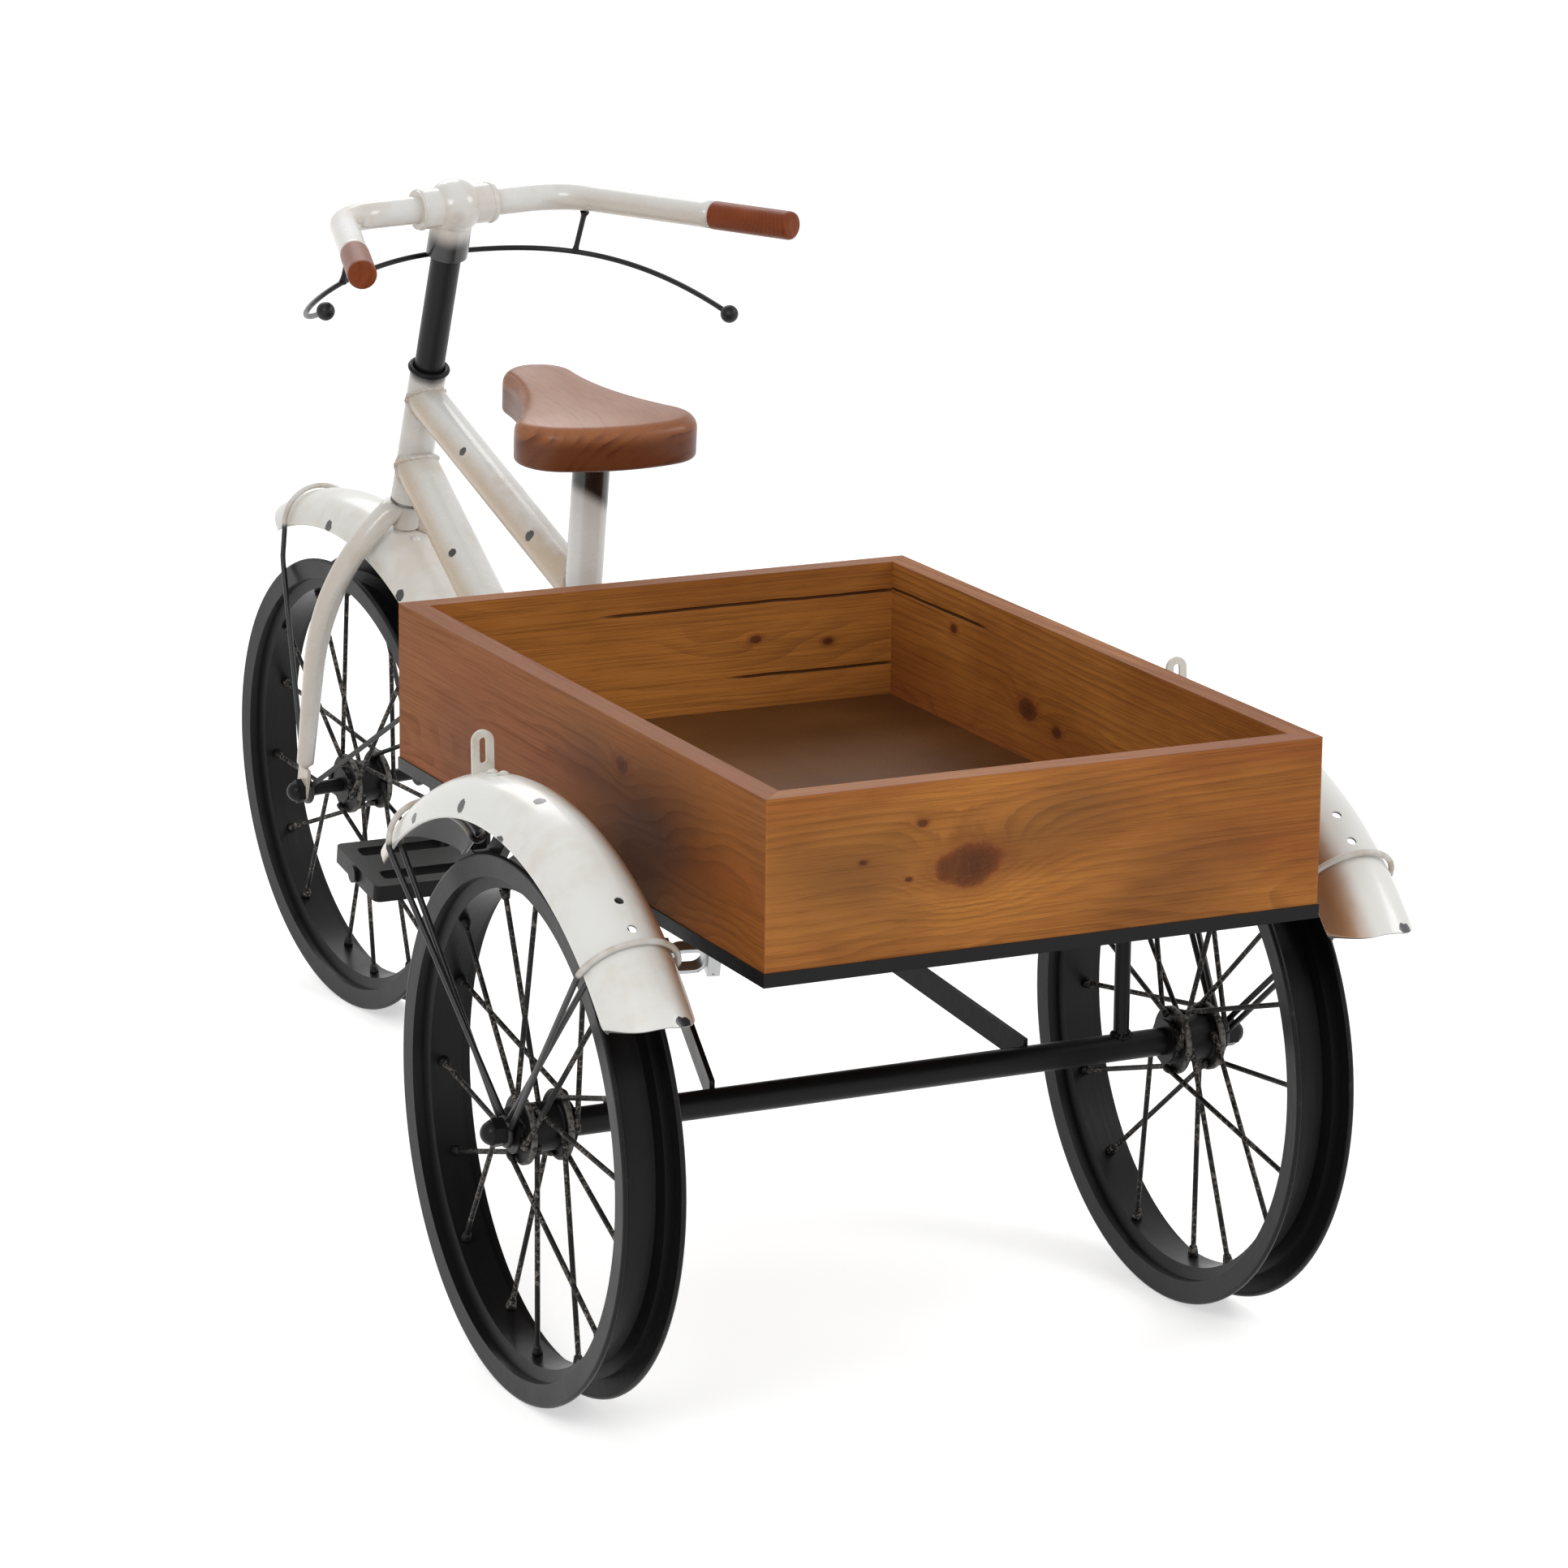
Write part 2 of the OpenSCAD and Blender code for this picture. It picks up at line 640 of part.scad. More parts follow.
module rear_axle_tube() {
    color([0.08, 0.08, 0.08]) at_rear_axle() rotate([0, 90, 0]) translate([0, 0, -tube_half])
        ring(axle_tube_d, rear_rod_d + 2 * weld, 2 * tube_half);
}
module rear_axle_rod() {
    color([0.3, 0.3, 0.3]) at_rear_axle() rotate([0, 90, 0])
        cylinder(d = rear_rod_d, h = 2 * rod_half, center = true);
}
module rear_axle_washers() {
    color([0.12, 0.12, 0.12]) at_rear_axle() both_sides() {
        translate([0, 0, tube_half + weld]) ring(washer_d, rear_rod_d + 2 * weld, washer_t - weld);
        translate([0, 0, outer_washer_x]) ring(washer_d, rear_rod_d + 2 * weld, washer_t);
    }
}
module rear_axle_nuts() {
    color([0.14, 0.14, 0.14]) at_rear_axle() both_sides() translate([0, 0, nut_x]) nut(nut_h, rear_rod_d);
}
module front_axle_rod() {
    color([0.3, 0.3, 0.3]) at_front_wheel() rotate([0, 90, 0])
        cylinder(d = front_rod_d, h = 2 * front_rod_half, center = true);
}
module front_axle_spacers() {
    color([0.12, 0.12, 0.12]) at_front_wheel() both_sides() translate([0, 0, spacer_x])
        ring(front_rod_d + 3, front_rod_d + 2 * weld, front_eye_x - weld - spacer_x);
}
module front_axle_nuts() {
    color([0.14, 0.14, 0.14]) at_front_wheel() both_sides() translate([0, 0, front_nut_x])
        nut(front_nut_h, front_rod_d);
}

// Frame tubes: each ends on the surface of the tube that it is welded to

module hollow(p, q, d) {
    difference() {
        rod(p, q, d);
        rod(past(q, p, 1), past(p, q, 1), d - 2 * tube_wall);
    }
}
module stem_core(d) { on_stem() translate([0, 0, -80]) cylinder(d = d, h = head_len + 160); }
module seat_core(d) { rod(seat_point(shell_z - 60), seat_point(saddle_z + 60), d); }
module shell_core(d) {
    translate(shell_at) rotate([0, 90, 0]) cylinder(d = d, h = shell_len + 20, center = true);
}
module axle_core(d) {
    translate([0, 0, rear_axle_z]) rotate([0, 90, 0]) cylinder(d = d, h = 2 * tube_half, center = true);
}

head_bore = head_d - 2 * tube_wall;
turn_bore = steerer_d + 2 * run_clear;
module head_tube() {
    color([0.86, 0.83, 0.77]) place() on_stem() ring(head_d, head_bore, head_len);
}
module head_ring() {
    color([0.86, 0.83, 0.77]) place() on_stem() translate([0, 0, head_len + ring_wire_d / 2 + weld])
        rotate_extrude() translate([steerer_d / 2 + ring_wire_d / 2 + 0.3, 0])
            circle(d = ring_wire_d, $fn = 32);
}
module frame_bushes() {
    shell_bore = shell_d - 2 * shell_wall;
    color([0.25, 0.25, 0.26]) place() {
        on_stem() difference() {
            union() {
                translate([0, 0, -bush_lip]) cylinder(d = head_d, h = bush_lip - weld);
                translate([0, 0, -bush_lip]) cylinder(d = head_bore - 2 * weld, h = bush_lip + bush_len);
                translate([0, 0, head_len - bush_len]) cylinder(d = head_bore - 2 * weld, h = bush_len);
            }
            translate([0, 0, -bush_lip - 1]) cylinder(d = turn_bore, h = head_len + bush_lip + 2);
        }
        translate(shell_at) both_sides() translate([0, 0, shell_len / 2]) difference() {
            union() {
                translate([0, 0, weld]) cylinder(d = shell_d - 2, h = bush_lip - weld);
                translate([0, 0, -bush_len]) cylinder(d = shell_bore - 2 * weld, h = bush_len + bush_lip);
            }
            translate([0, 0, -bush_len - 1])
                cylinder(d = crank_shaft_d + 2 * run_clear, h = bush_len + bush_lip + 2);
        }
    }
}
module top_tube() {
    color([0.87, 0.84, 0.78]) place() difference() {
        hollow(head_point(top_tube_drop), top_foot, top_tube_d);
        stem_core(head_d + 2 * weld);
        seat_core(seat_tube_d + 2 * weld);
    }
}
module down_tube() {
    color([0.87, 0.84, 0.78]) place() difference() {
        hollow(head_point(down_tube_drop), down_foot, down_tube_d);
        stem_core(head_d + 2 * weld);
        seat_core(seat_tube_d + 2 * weld);
        shell_core(shell_d + 2 * weld);
    }
}
module seat_tube() {
    color([0.87, 0.84, 0.78]) place() difference() {
        hollow(shell_at, seat_point(saddle_z + 10), seat_tube_d);
        shell_core(shell_d + 2 * weld);
        on_saddle() translate([-60, -60, -plate_t - weld]) cube([120, 120, 60]);
    }
}
module crank_shell() {
    color([0.87, 0.84, 0.78]) place() translate(shell_at) rotate([0, 90, 0])
        translate([0, 0, -shell_len / 2]) ring(shell_d, shell_d - 2 * shell_wall, shell_len);
}

// Saddle and its plate, drawn with Y along the saddle and the plate's upper face at zero

module on_saddle() {
    translate([0, seat_y(saddle_z), saddle_z]) rotate([saddle_tilt, 0, -saddle_turn]) children();
}
plate_screws = [for (x = [-1, 1]) for (y = [-1, 1]) [x * (plate_w / 2 - 10), y * (plate_l / 2 - 10)]];
module saddle_plate() {
    color([0.15, 0.15, 0.15]) place() on_saddle() difference() {
        translate([-plate_w / 2, -plate_l / 2, -plate_t]) cube([plate_w, plate_l, plate_t]);
        for (p = plate_screws) translate([p[0], p[1], -plate_t - 1])
            cylinder(d = screw_d + 2 * weld, h = plate_t + 2, $fn = 32);
    }
}
// Outline of one half, rear to nose, as circles that touch: rear edge, corner, flank and nose
corner_gap = saddle_half - saddle_corner_r;
corner_c = [saddle_rear_r - sqrt(pow(saddle_rear_r - saddle_corner_r, 2) - pow(corner_gap, 2)), corner_gap];
nose_u = saddle_len - nose_half;
nose_step = nose_half - corner_c[1];
flank_r = (pow(nose_u - corner_c[0], 2) + nose_step * nose_step - saddle_corner_r * saddle_corner_r)
    / (2 * (saddle_corner_r - nose_step));
flank_c = [nose_u, nose_half + flank_r];
rear_turn = atan2(corner_c[1], saddle_rear_r - corner_c[0]);
flank_turn = atan2(flank_c[1] - corner_c[1], flank_c[0] - corner_c[0]);
function arc(c, r, from, to, n) =
    [for (i = [0:n - 1]) let (a = from + (to - from) * i / n) [c[0] + r * cos(a), c[1] + r * sin(a)]];
function saddle_side(inset) = concat(
    arc([saddle_rear_r, 0], saddle_rear_r - inset, 180, 180 - rear_turn, 4),
    arc(corner_c, saddle_corner_r - inset, 180 - rear_turn, flank_turn, 8),
    arc(flank_c, flank_r + inset, flank_turn + 180, 270, 7),
    arc([nose_u, 0], nose_half - inset, 90, 0, 7),
    [[saddle_len - inset, 0]]
);
function saddle_ring(inset) =
    let (side = saddle_side(inset), n = len(side))
    concat([for (p = side) [p[1], p[0]]], [for (i = [n - 2:-1:1]) [-side[i][1], side[i][0]]]);
saddle_foot = 4;
saddle_steps = concat(
    [for (a = [0:30:90]) [saddle_foot * (1 - sin(a)), saddle_foot * (1 - cos(a))]],
    [for (a = [0:18:90]) [saddle_round * (1 - cos(a)), saddle_t - saddle_round * (1 - sin(a))]]
);
module saddle() {
    rings = [for (s = saddle_steps) [for (p = saddle_ring(s[0])) [p[0], p[1] - saddle_back, s[1] + weld]]];
    n = len(rings[0]);
    last = len(rings) - 1;
    walls = [
        for (i = [0:last - 1]) for (k = [0:n - 1])
            let (m = (k + 1) % n)
            [i * n + k, (i + 1) * n + k, (i + 1) * n + m, i * n + m]
    ];
    ends = [[for (k = [0:n - 1]) k], [for (k = [n - 1:-1:0]) last * n + k]];
    color([0.55, 0.32, 0.18]) place() on_saddle() difference() {
        polyhedron(points = [for (r = rings) each r], faces = concat(walls, ends), convexity = 6);
        for (p = plate_screws) translate([p[0], p[1], -1])
            cylinder(d = screw_d + 2 * weld, h = screw_depth + 1.5, $fn = 32);
    }
}

// Crate and tray

crate_mid = (crate_front - crate_rear) / 2;
// One side of a mitred frame, outer edge on the X axis, body toward minus Y
module frame_side(length, depth, h) {
    e = weld;
    linear_extrude(h) polygon([
        [-length / 2 + e, 0], [length / 2 - e, 0],
        [length / 2 - depth - e, -depth], [-length / 2 + depth + e, -depth]
    ]);
}
module to_front(out) { place() translate([0, crate_front + out, 0]) children(); }
module to_rear(out) { place() translate([0, -crate_rear - out, 0]) rotate([0, 0, 180]) children(); }
module to_left(out) { place() translate([-crate_w / 2 - out, crate_mid, 0]) rotate([0, 0, 90]) children(); }
module to_right(out) { place() translate([crate_w / 2 + out, crate_mid, 0]) rotate([0, 0, -90]) children(); }

// Angle iron with its upright leg outside and its flat leg on top, drilled for two screws
module rail(length) {
    color([0.09, 0.09, 0.09]) difference() {
        translate([0, 0, rail_top - rail_h]) frame_side(length + 2 * rail_proud, rail_w, rail_h);
        translate([-length, -2 * rail_w - rail_t, rail_top - rail_h - 1])
            cube([2 * length, 2 * rail_w, rail_h - rail_t + 1]);
        for (s = [-1, 1]) translate([s * length * 0.3, -rail_proud - board_t / 2, rail_top - rail_t - 1])
            cylinder(d = screw_d + 2 * weld, h = rail_t + 2, $fn = 32);
    }
}
module board(length, shade) {
    color(shade) difference() {
        translate([0, 0, crate_z + weld]) frame_side(length, board_t, crate_h - weld);
        for (s = [-1, 1]) translate([s * length * 0.3, -board_t / 2, crate_z - 1])
            cylinder(d = screw_d + 2 * weld, h = screw_depth + 1.5, $fn = 32);
    }
}
module tray_rail_front() { to_front(rail_proud) rail(crate_w); }
module tray_rail_rear() { to_rear(rail_proud) rail(crate_w); }
module tray_rail_left() { to_left(rail_proud) rail(crate_l); }
module tray_rail_right() { to_right(rail_proud) rail(crate_l); }
module crate_board_front() { to_front(0) board(crate_w, [0.5, 0.33, 0.2]); }
module crate_board_rear() { to_rear(0) board(crate_w, [0.6, 0.39, 0.22]); }
module crate_board_left() { to_left(0) board(crate_l, [0.52, 0.33, 0.22]); }
module crate_board_right() { to_right(0) board(crate_l, [0.52, 0.33, 0.22]); }
module crate_floor() {
    in_x = crate_w / 2 - board_t - weld;
    color([0.32, 0.2, 0.13]) place() translate([-in_x, -crate_rear + board_t + weld, crate_z + weld])
        cube([2 * in_x, crate_l - 2 * board_t - 2 * weld, floor_t]);
}
// Countersunk wood screw pointing up, its head below the XY plane
module screw(leg) {
    translate([0, 0, -2.2]) dome_head();
    translate([0, 0, -1]) cylinder(d = screw_d, h = leg + screw_depth + 1, $fn = 32);
}
module dome_head() { cylinder(d1 = screw_d + 1.5, d2 = screw_d + 4, h = 2.2 - weld, $fn = 32); }
module wood_screws() {
    color([0.35, 0.33, 0.3]) {
        for (s = [-1, 1]) {
            to_front(0) translate([s * crate_w * 0.3, -board_t / 2, cross_top]) screw(rail_t);
            to_rear(0) translate([s * crate_w * 0.3, -board_t / 2, cross_top]) screw(rail_t);
            to_left(0) translate([s * crate_l * 0.3, -board_t / 2, cross_top]) screw(rail_t);
            to_right(0) translate([s * crate_l * 0.3, -board_t / 2, cross_top]) screw(rail_t);
        }
        place() on_saddle() for (p = plate_screws) translate([p[0], p[1], -plate_t]) screw(plate_t);
    }
}
// Two flat bars across the tray, and the square tube that ties its front to the seat tube
module tray_bearers() {
    half = rail_x - rail_t - weld;
    link_rear = rail_front - rail_w;
    color([0.09, 0.09, 0.09]) place() {
        for (y = cross_y) translate([-half, y - cross_w / 2, cross_top - weld - cross_t])
            cube([2 * half, cross_w, cross_t]);
        difference() {
            translate([-link_d / 2, link_rear, link_top - weld - link_d])
                cube([link_d, shell_y - link_rear, link_d]);
            translate([-link_d / 2 + 2, link_rear - 1, link_top - weld - link_d + 2])
                cube([link_d - 4, shell_y, link_d - 4]);
            seat_core(seat_tube_d + 2 * weld);
            translate([-link_d, seat_y(link_top - link_d), link_top - 2 * link_d])
                cube([2 * link_d, 60, 3 * link_d]);
        }
    }
}
module tray_posts() {
    color([0.09, 0.09, 0.09]) place() difference() {
        for (s = [-1, 1]) translate([s * post_x, 0, rear_axle_z])
            cylinder(d = post_d, h = cross_top - weld - rear_axle_z);
        axle_core(axle_tube_d + 2 * weld);
    }
}

// Straps on edge, from the axle tube up to the sides of the seat tube

strap_top_x = seat_tube_d / 2 + strap_t / 2 + weld;
strap_low_z = rear_axle_z + strap_lift;
function strap_plan(top_z) = norm([strap_half - strap_top_x, seat_y(top_z)]);
function strap_yaw(top_z) = atan2(strap_half - strap_top_x, seat_y(top_z));
strap_pitch = atan2(strap_top_left - strap_low_z, strap_plan(strap_top_left));
bracket_share = bracket_at / seat_y(strap_top_left);
module on_strap(top_z) {
    place() translate([-strap_half, 0, strap_low_z]) rotate([0, 0, -strap_yaw(top_z)]) children();
}
module at_bracket() {
    reach = bracket_share * strap_plan(strap_top_left);
    rise = bracket_share * (strap_top_left - strap_low_z);
    on_strap(strap_top_left) translate([0, reach, rise]) rotate([strap_pitch, 0, 0]) rotate([0, 90, 0])
        children();
}
// The strap starts at the front of the axle tube
module strap(top_z) {
    h = strap_h / 2;
    start = 4;
    far = strap_plan(top_z);
    rise = top_z - strap_low_z;
    low = start * rise / far;
    difference() {
        on_strap(top_z) rotate([90, 0, 90]) translate([0, 0, -strap_t / 2]) linear_extrude(strap_t)
            polygon([[start, low - h], [far, rise - h], [far, rise + h], [start, low + h]]);
        place() axle_core(axle_tube_d + 2 * weld);
        place() seat_core(seat_tube_d + 2 * weld);
    }
}
module stay_strap_left() {
    color([0.09, 0.09, 0.09]) difference() {
        strap(strap_top_left);
        at_bracket() translate([0, 0, -strap_t]) cylinder(d = bracket_bolt_d + 2 * weld, h = 2 * strap_t);
    }
}
module stay_strap_right() { color([0.09, 0.09, 0.09]) mirror([1, 0, 0]) strap(strap_top_right); }

// Bare bracket: a plate on the strap, an oval loop and a channel at its end; drawn with Z away from the strap
module oval(length, w) {
    for (s = [-1, 1]) translate([s * (length - w) / 2, 0]) circle(d = w, $fn = 48);
    square([length - w, w], center = true);
}
module strap_bracket() {
    z0 = strap_t / 2 + weld;
    loop = bracket_len - bracket_t;
    color([0.66, 0.67, 0.66]) at_bracket() difference() {
        union() {
            translate([-bracket_h / 2, -bracket_w / 2, z0]) cube([bracket_h, bracket_w, bracket_t]);
            translate([0, 0, z0 + loop / 2 + 0.5]) rotate([90, 90, 0])
                linear_extrude(bracket_w * 0.6, center = true) difference() {
                    oval(loop, bracket_h - 2);
                    oval(loop - 2 * bracket_t, bracket_h - 2 - 2 * bracket_t);
                }
            translate([-bracket_h / 2, -bracket_w / 2, z0 + loop - 0.5])
                cube([bracket_h, bracket_w, bracket_t]);
            for (s = [-1, 1]) translate([-bracket_h / 2, s * (bracket_w / 2 - 1) - 1, z0 + loop - 0.5])
                cube([bracket_h, 2, bracket_t + 7]);
        }
        translate([0, 0, z0 - 1]) cylinder(d = bracket_bolt_d + 2 * weld, h = 2 * bracket_t + 3);
        translate([0, 0, z0 + bracket_t + 0.5])
            cylinder(d = bracket_bolt_d * 1.7 + 1, h = bracket_bolt_d * 0.6 + 1);
    }
}
module bracket_bolt() {
    z0 = strap_t / 2 + weld;
    head = bracket_bolt_d * 0.6;
    hole_end = z0 + bracket_t + 0.5 + weld;
    color([0.6, 0.6, 0.58]) at_bracket() {
        translate([0, 0, hole_end]) cylinder(d = bracket_bolt_d * 1.7, h = head, $fn = 6);
        translate([0, 0, -z0 - 11]) cylinder(d = bracket_bolt_d, h = z0 + 11 + hole_end + 1);
        translate([0, 0, -z0 - 5.5]) cylinder(d = bracket_bolt_d * 1.9, h = 5.5, $fn = 6);
    }
}

// Fenders

section_r = (fender_w * fender_w / 4 + fender_rise * fender_rise) / (2 * fender_rise);
section_c = fender_r - section_r;
edge_r = fender_r - fender_rise;
edge_half = asin((fender_w / 2 - fender_t / 2) / (section_r - fender_t / 2));
bead_reach = section_c + (section_r - fender_t / 2) * cos(edge_half);
// From a fender's arc centre: angle zero points ahead, and X points outward at the given angle
module at_arc(c, angle) { translate([0, c[0], c[1]]) across() rotate([0, 0, angle]) children(); }
// Strip of the arched section between two radii
module section_band(outer, inner, half) {
    difference() {
        intersection() {
            translate([section_c, 0]) circle(r = outer, $fn = 96);
            translate([section_c, -half]) square([outer + 5, 2 * half]);
        }
        translate([section_c, 0]) circle(r = inner, $fn = 96);
        translate([0, -outer - 5]) square([edge_r, 2 * outer + 10]);
    }
}
module fender_corner_cut(r) {
    hw = fender_w / 2 + 1;
    for (s = [0, 1]) mirror([0, 0, s]) difference() {
        translate([edge_r - 9, -5, hw - r]) cube([fender_rise + 20, r + 5, r + 5]);
        translate([edge_r - 10, r, hw - r]) rotate([0, 90, 0])
            cylinder(r = r, h = fender_rise + 22, $fn = 96);
    }
}
module fender_sheet(c, start, span, near_r, far_r) {
    at_arc(c, start) difference() {
        rotate_extrude(angle = span, $fn = 96) {
            section_band(section_r, section_r - fender_t, fender_w);
            for (s = [-1, 1]) translate([bead_reach, s * (fender_w - fender_t) / 2])
                circle(d = bead_d, $fn = 24);
        }
        fender_corner_cut(near_r);
        rotate([0, 0, span]) mirror([0, 1, 0]) fender_corner_cut(far_r);
    }
}
module radial_hole(c, angle, d) {
    at_arc(c, angle) translate([edge_r, 0, 0]) rotate([0, 90, 0]) cylinder(d = d, h = fender_rise + 10);
}
module at_tab() {
    at_arc(rear_fender_c, tab_angle) translate([fender_r, 0, 0]) rotate([0, 0, tab_lean]) children();
}
module rear_fender() {
    difference() {
        fender_sheet(rear_fender_c, rear_fender_start, rear_fender_span, fender_corner, fender_corner);
        for (a = rear_holes) radial_hole(rear_fender_c, a, fender_hole_d);
        for (a = tab_rivets) radial_hole(rear_fender_c, a, rivet_d + 2 * weld);
        at_tab() translate([-10, -tab_t / 2 - weld, -tab_w / 2 - weld])
            cube([20, tab_t + 2 * weld, tab_w + 2 * weld]);
    }
}
module rear_pair() { for (s = [-1, 1]) place() translate([s * fender_x, 0, 0]) children(); }
module rear_fender_left() { color([0.87, 0.86, 0.83]) place() translate([-fender_x, 0, 0]) rear_fender(); }
module rear_fender_right() { color([0.87, 0.86, 0.83]) place() translate([fender_x, 0, 0]) rear_fender(); }

// Slotted tab that stands up through the fender, with a foot that follows the skin below
module fender_tabs() {
    foot_r = section_r - fender_t - soft_gap;
    color([0.85, 0.84, 0.81]) rear_pair() difference() {
        union() {
            at_tab() translate([-fender_t - tab_t - 1, -tab_t / 2, -tab_w / 2])
                cube([fender_t + tab_t + 1 + tab_h - tab_w / 2, tab_t, tab_w]);
            at_tab() translate([tab_h - tab_w / 2, 0, 0]) rotate([90, 0, 0])
                cylinder(d = tab_w, h = tab_t, center = true);
            at_arc(rear_fender_c, tab_angle) rotate_extrude(angle = 12, $fn = 96)
                section_band(foot_r, foot_r - tab_t, tab_w / 2);
        }
        at_tab() translate([tab_h - tab_slot_len / 2 - 5.5, 0, 0]) rotate([90, 0, 0])
            linear_extrude(tab_t + 2, center = true) oval(tab_slot_len, tab_slot_w);
        for (a = tab_rivets) radial_hole(rear_fender_c, a, rivet_d + 2 * weld);
    }
}
// Rivet along X through sheets whose upper face is at the crown
module rivet(grip) {
    rotate([0, 90, 0]) {
        translate([0, 0, weld]) dome(rivet_d + 4, 2.6);
        translate([0, 0, -grip - 0.6]) cylinder(d = rivet_d, h = grip + 1.6, $fn = 32);
        translate([0, 0, -grip - 0.6]) mirror([0, 0, 1]) dome(rivet_d + 3, 1.8);
    }
}
module fender_rivets() {
    color([0.84, 0.83, 0.8]) rear_pair() for (a = tab_rivets)
        at_arc(rear_fender_c, a) translate([fender_r, 0, 0]) rivet(fender_t + soft_gap + tab_t);
}

// Wire stays. A wire crosses the crown just above the skin, turns round the bead and comes back below it
stay_over = section_r - fender_t / 2 + bead_d / 2 + 0.45 + stay_d / 2;
stay_under = section_r - fender_t / 2 - bead_d / 2 - 0.45 - stay_d / 2;
function arch(c, angle, r, phi) =
    let (reach = section_c + r * cos(phi))
    [r * sin(phi), c[0] + reach * cos(angle), c[1] + reach * sin(angle)];
// Round the bead: centre on the sheet's edge, turn from outside to inside
function bead_turn(c, angle, turn) =
    let (
        mid = section_r - fender_t / 2, r = (stay_over - stay_under) / 2,
        s = mid * sin(edge_half) + r * sin(edge_half + turn),
        reach = bead_reach + r * cos(edge_half + turn)
    )
    [-s, c[0] + reach * cos(angle), c[1] + reach * sin(angle)];
// Foot of a leg on the eye, beside the line that runs from the axle to the fender
function leg_foot(x, hub, toward, aside) =
    let (d = unit([0, toward[1] - hub[0], toward[2] - hub[1]]))
    [x, hub[0] + d[1] * 9.4 - d[2] * aside, hub[1] + d[2] * 9.4 + d[1] * aside];
module rear_stay(angle) {
    c = rear_fender_c;
    x = eye_x + eye_t / 2 - fender_x;
    far = arch(c, angle, stay_over, 85.4);
    near = arch(c, angle, stay_under, edge_half);
    path = concat(
        [leg_foot(x, [0, rear_axle_z], far, 3.4)],
        [for (phi = [85.4:-11.4:-40]) arch(c, angle, stay_over, phi)],
        [arch(c, angle, stay_over, -edge_half + 8)],
        [for (turn = [0:36:180]) bead_turn(c, angle, turn)],
        [for (k = [1:9]) arch(c, angle, stay_under, -edge_half + 2 * edge_half * k / 10)],
        [near, leg_foot(x, [0, rear_axle_z], near, -3.4)]
    );
    swept(path, even(len(path), stay_d / 2), [0.001, cos(angle + 90), sin(angle + 90)], 8);
}
module stay_eye(x, hub, rod_d) {
    translate([x, hub[0], hub[1]]) rotate([0, 90, 0]) ring(eye_d, rod_d + 2 * weld, eye_t);
}
module rear_fender_stays() {
    color([0.3, 0.3, 0.3]) for (s = [0, 1]) mirror([s, 0, 0]) place() {
        difference() {
            translate([fender_x, 0, 0]) for (a = rear_stay_angles) rear_stay(a);
            translate([eye_x, 0, rear_axle_z]) rotate([0, 90, 0])
                cylinder(d = eye_d - 2, h = 2 * eye_t, center = true);
        }
        stay_eye(eye_x, [0, rear_axle_z], rear_rod_d);
    }
}
// The front stays run from one dropout over the crown to the other. The left leg swings out round the rim
module front_stay(angle) {
    c = front_fender_c;
    x = front_eye_x + eye_t - stay_d / 2 - 0.1;
    hub = [front_hub[1], front_hub[2]];
    last = arch(c, angle, stay_over, 85.4);
    d = unit([0, last[1] - hub[0], last[2] - hub[1]]);
    r = wheel_r + 7;
    rim_side = -fork_set - rim_w / 2 - stay_d / 2 - 1.2;
    path = concat(
        [leg_foot(x - fork_set, hub, last, 0)],
        [for (phi = [85.4:-12.2:-85.5]) arch(c, angle, stay_over, phi)],
        [[rim_side, hub[0] + r * d[1], hub[1] + r * d[2]]],
        [leg_foot(-x - fork_set, hub, last, 0)]
    );
    swept(path, even(len(path), stay_d / 2), [0.001, cos(angle + 90), sin(angle + 90)], 8);
}
module front_fender_stays() {
    hub = [front_hub[1], front_hub[2]];
    color([0.3, 0.3, 0.3]) steered() {
        difference() {
            for (a = front_stay_angles) front_stay(a);
            for (s = [-1, 1]) translate([s * front_eye_x - fork_set, hub[0], hub[1]]) rotate([0, 90, 0])
                cylinder(d = eye_d - 2, h = 4 * eye_t, center = true);
        }
        stay_eye(front_eye_x - fork_set, hub, front_rod_d);
        stay_eye(-front_eye_x - eye_t - fork_set, hub, front_rod_d);
    }
}

// Where the steering axis meets the front fender's crown, measured along the axis
axis_off = [head_y - front_fender_c[0], head_z - front_fender_c[1]];
axis_lead = axis_off * [steer_axis[1], steer_axis[2]];
crown_s = -axis_lead + sqrt(axis_lead * axis_lead - axis_off * axis_off + fender_r * fender_r);
steerer_foot = crown_s + crown_spacer;
steerer_top = ball_rise - bar_d / 2 - 3;
// The fender is cut round the right blade, which stands closer to the middle at the crown
notch_d = blade_d + 3;
module front_fender() {
    color([0.87, 0.86, 0.83]) steered() difference() {
        fender_sheet(front_fender_c, front_fender_start, front_fender_span, fender_tip_r, fender_corner);
        on_stem() translate([0, 0, crown_s - 20]) cylinder(d = crown_bolt_d + 2 * weld, h = 30);
        radial_hole(front_fender_c, front_rivet_angle, rivet_d + 2 * weld);
        rod(blade_at(1, blade_top_s - 72), blade_at(1, blade_top_s + 6), notch_d);
    }
}
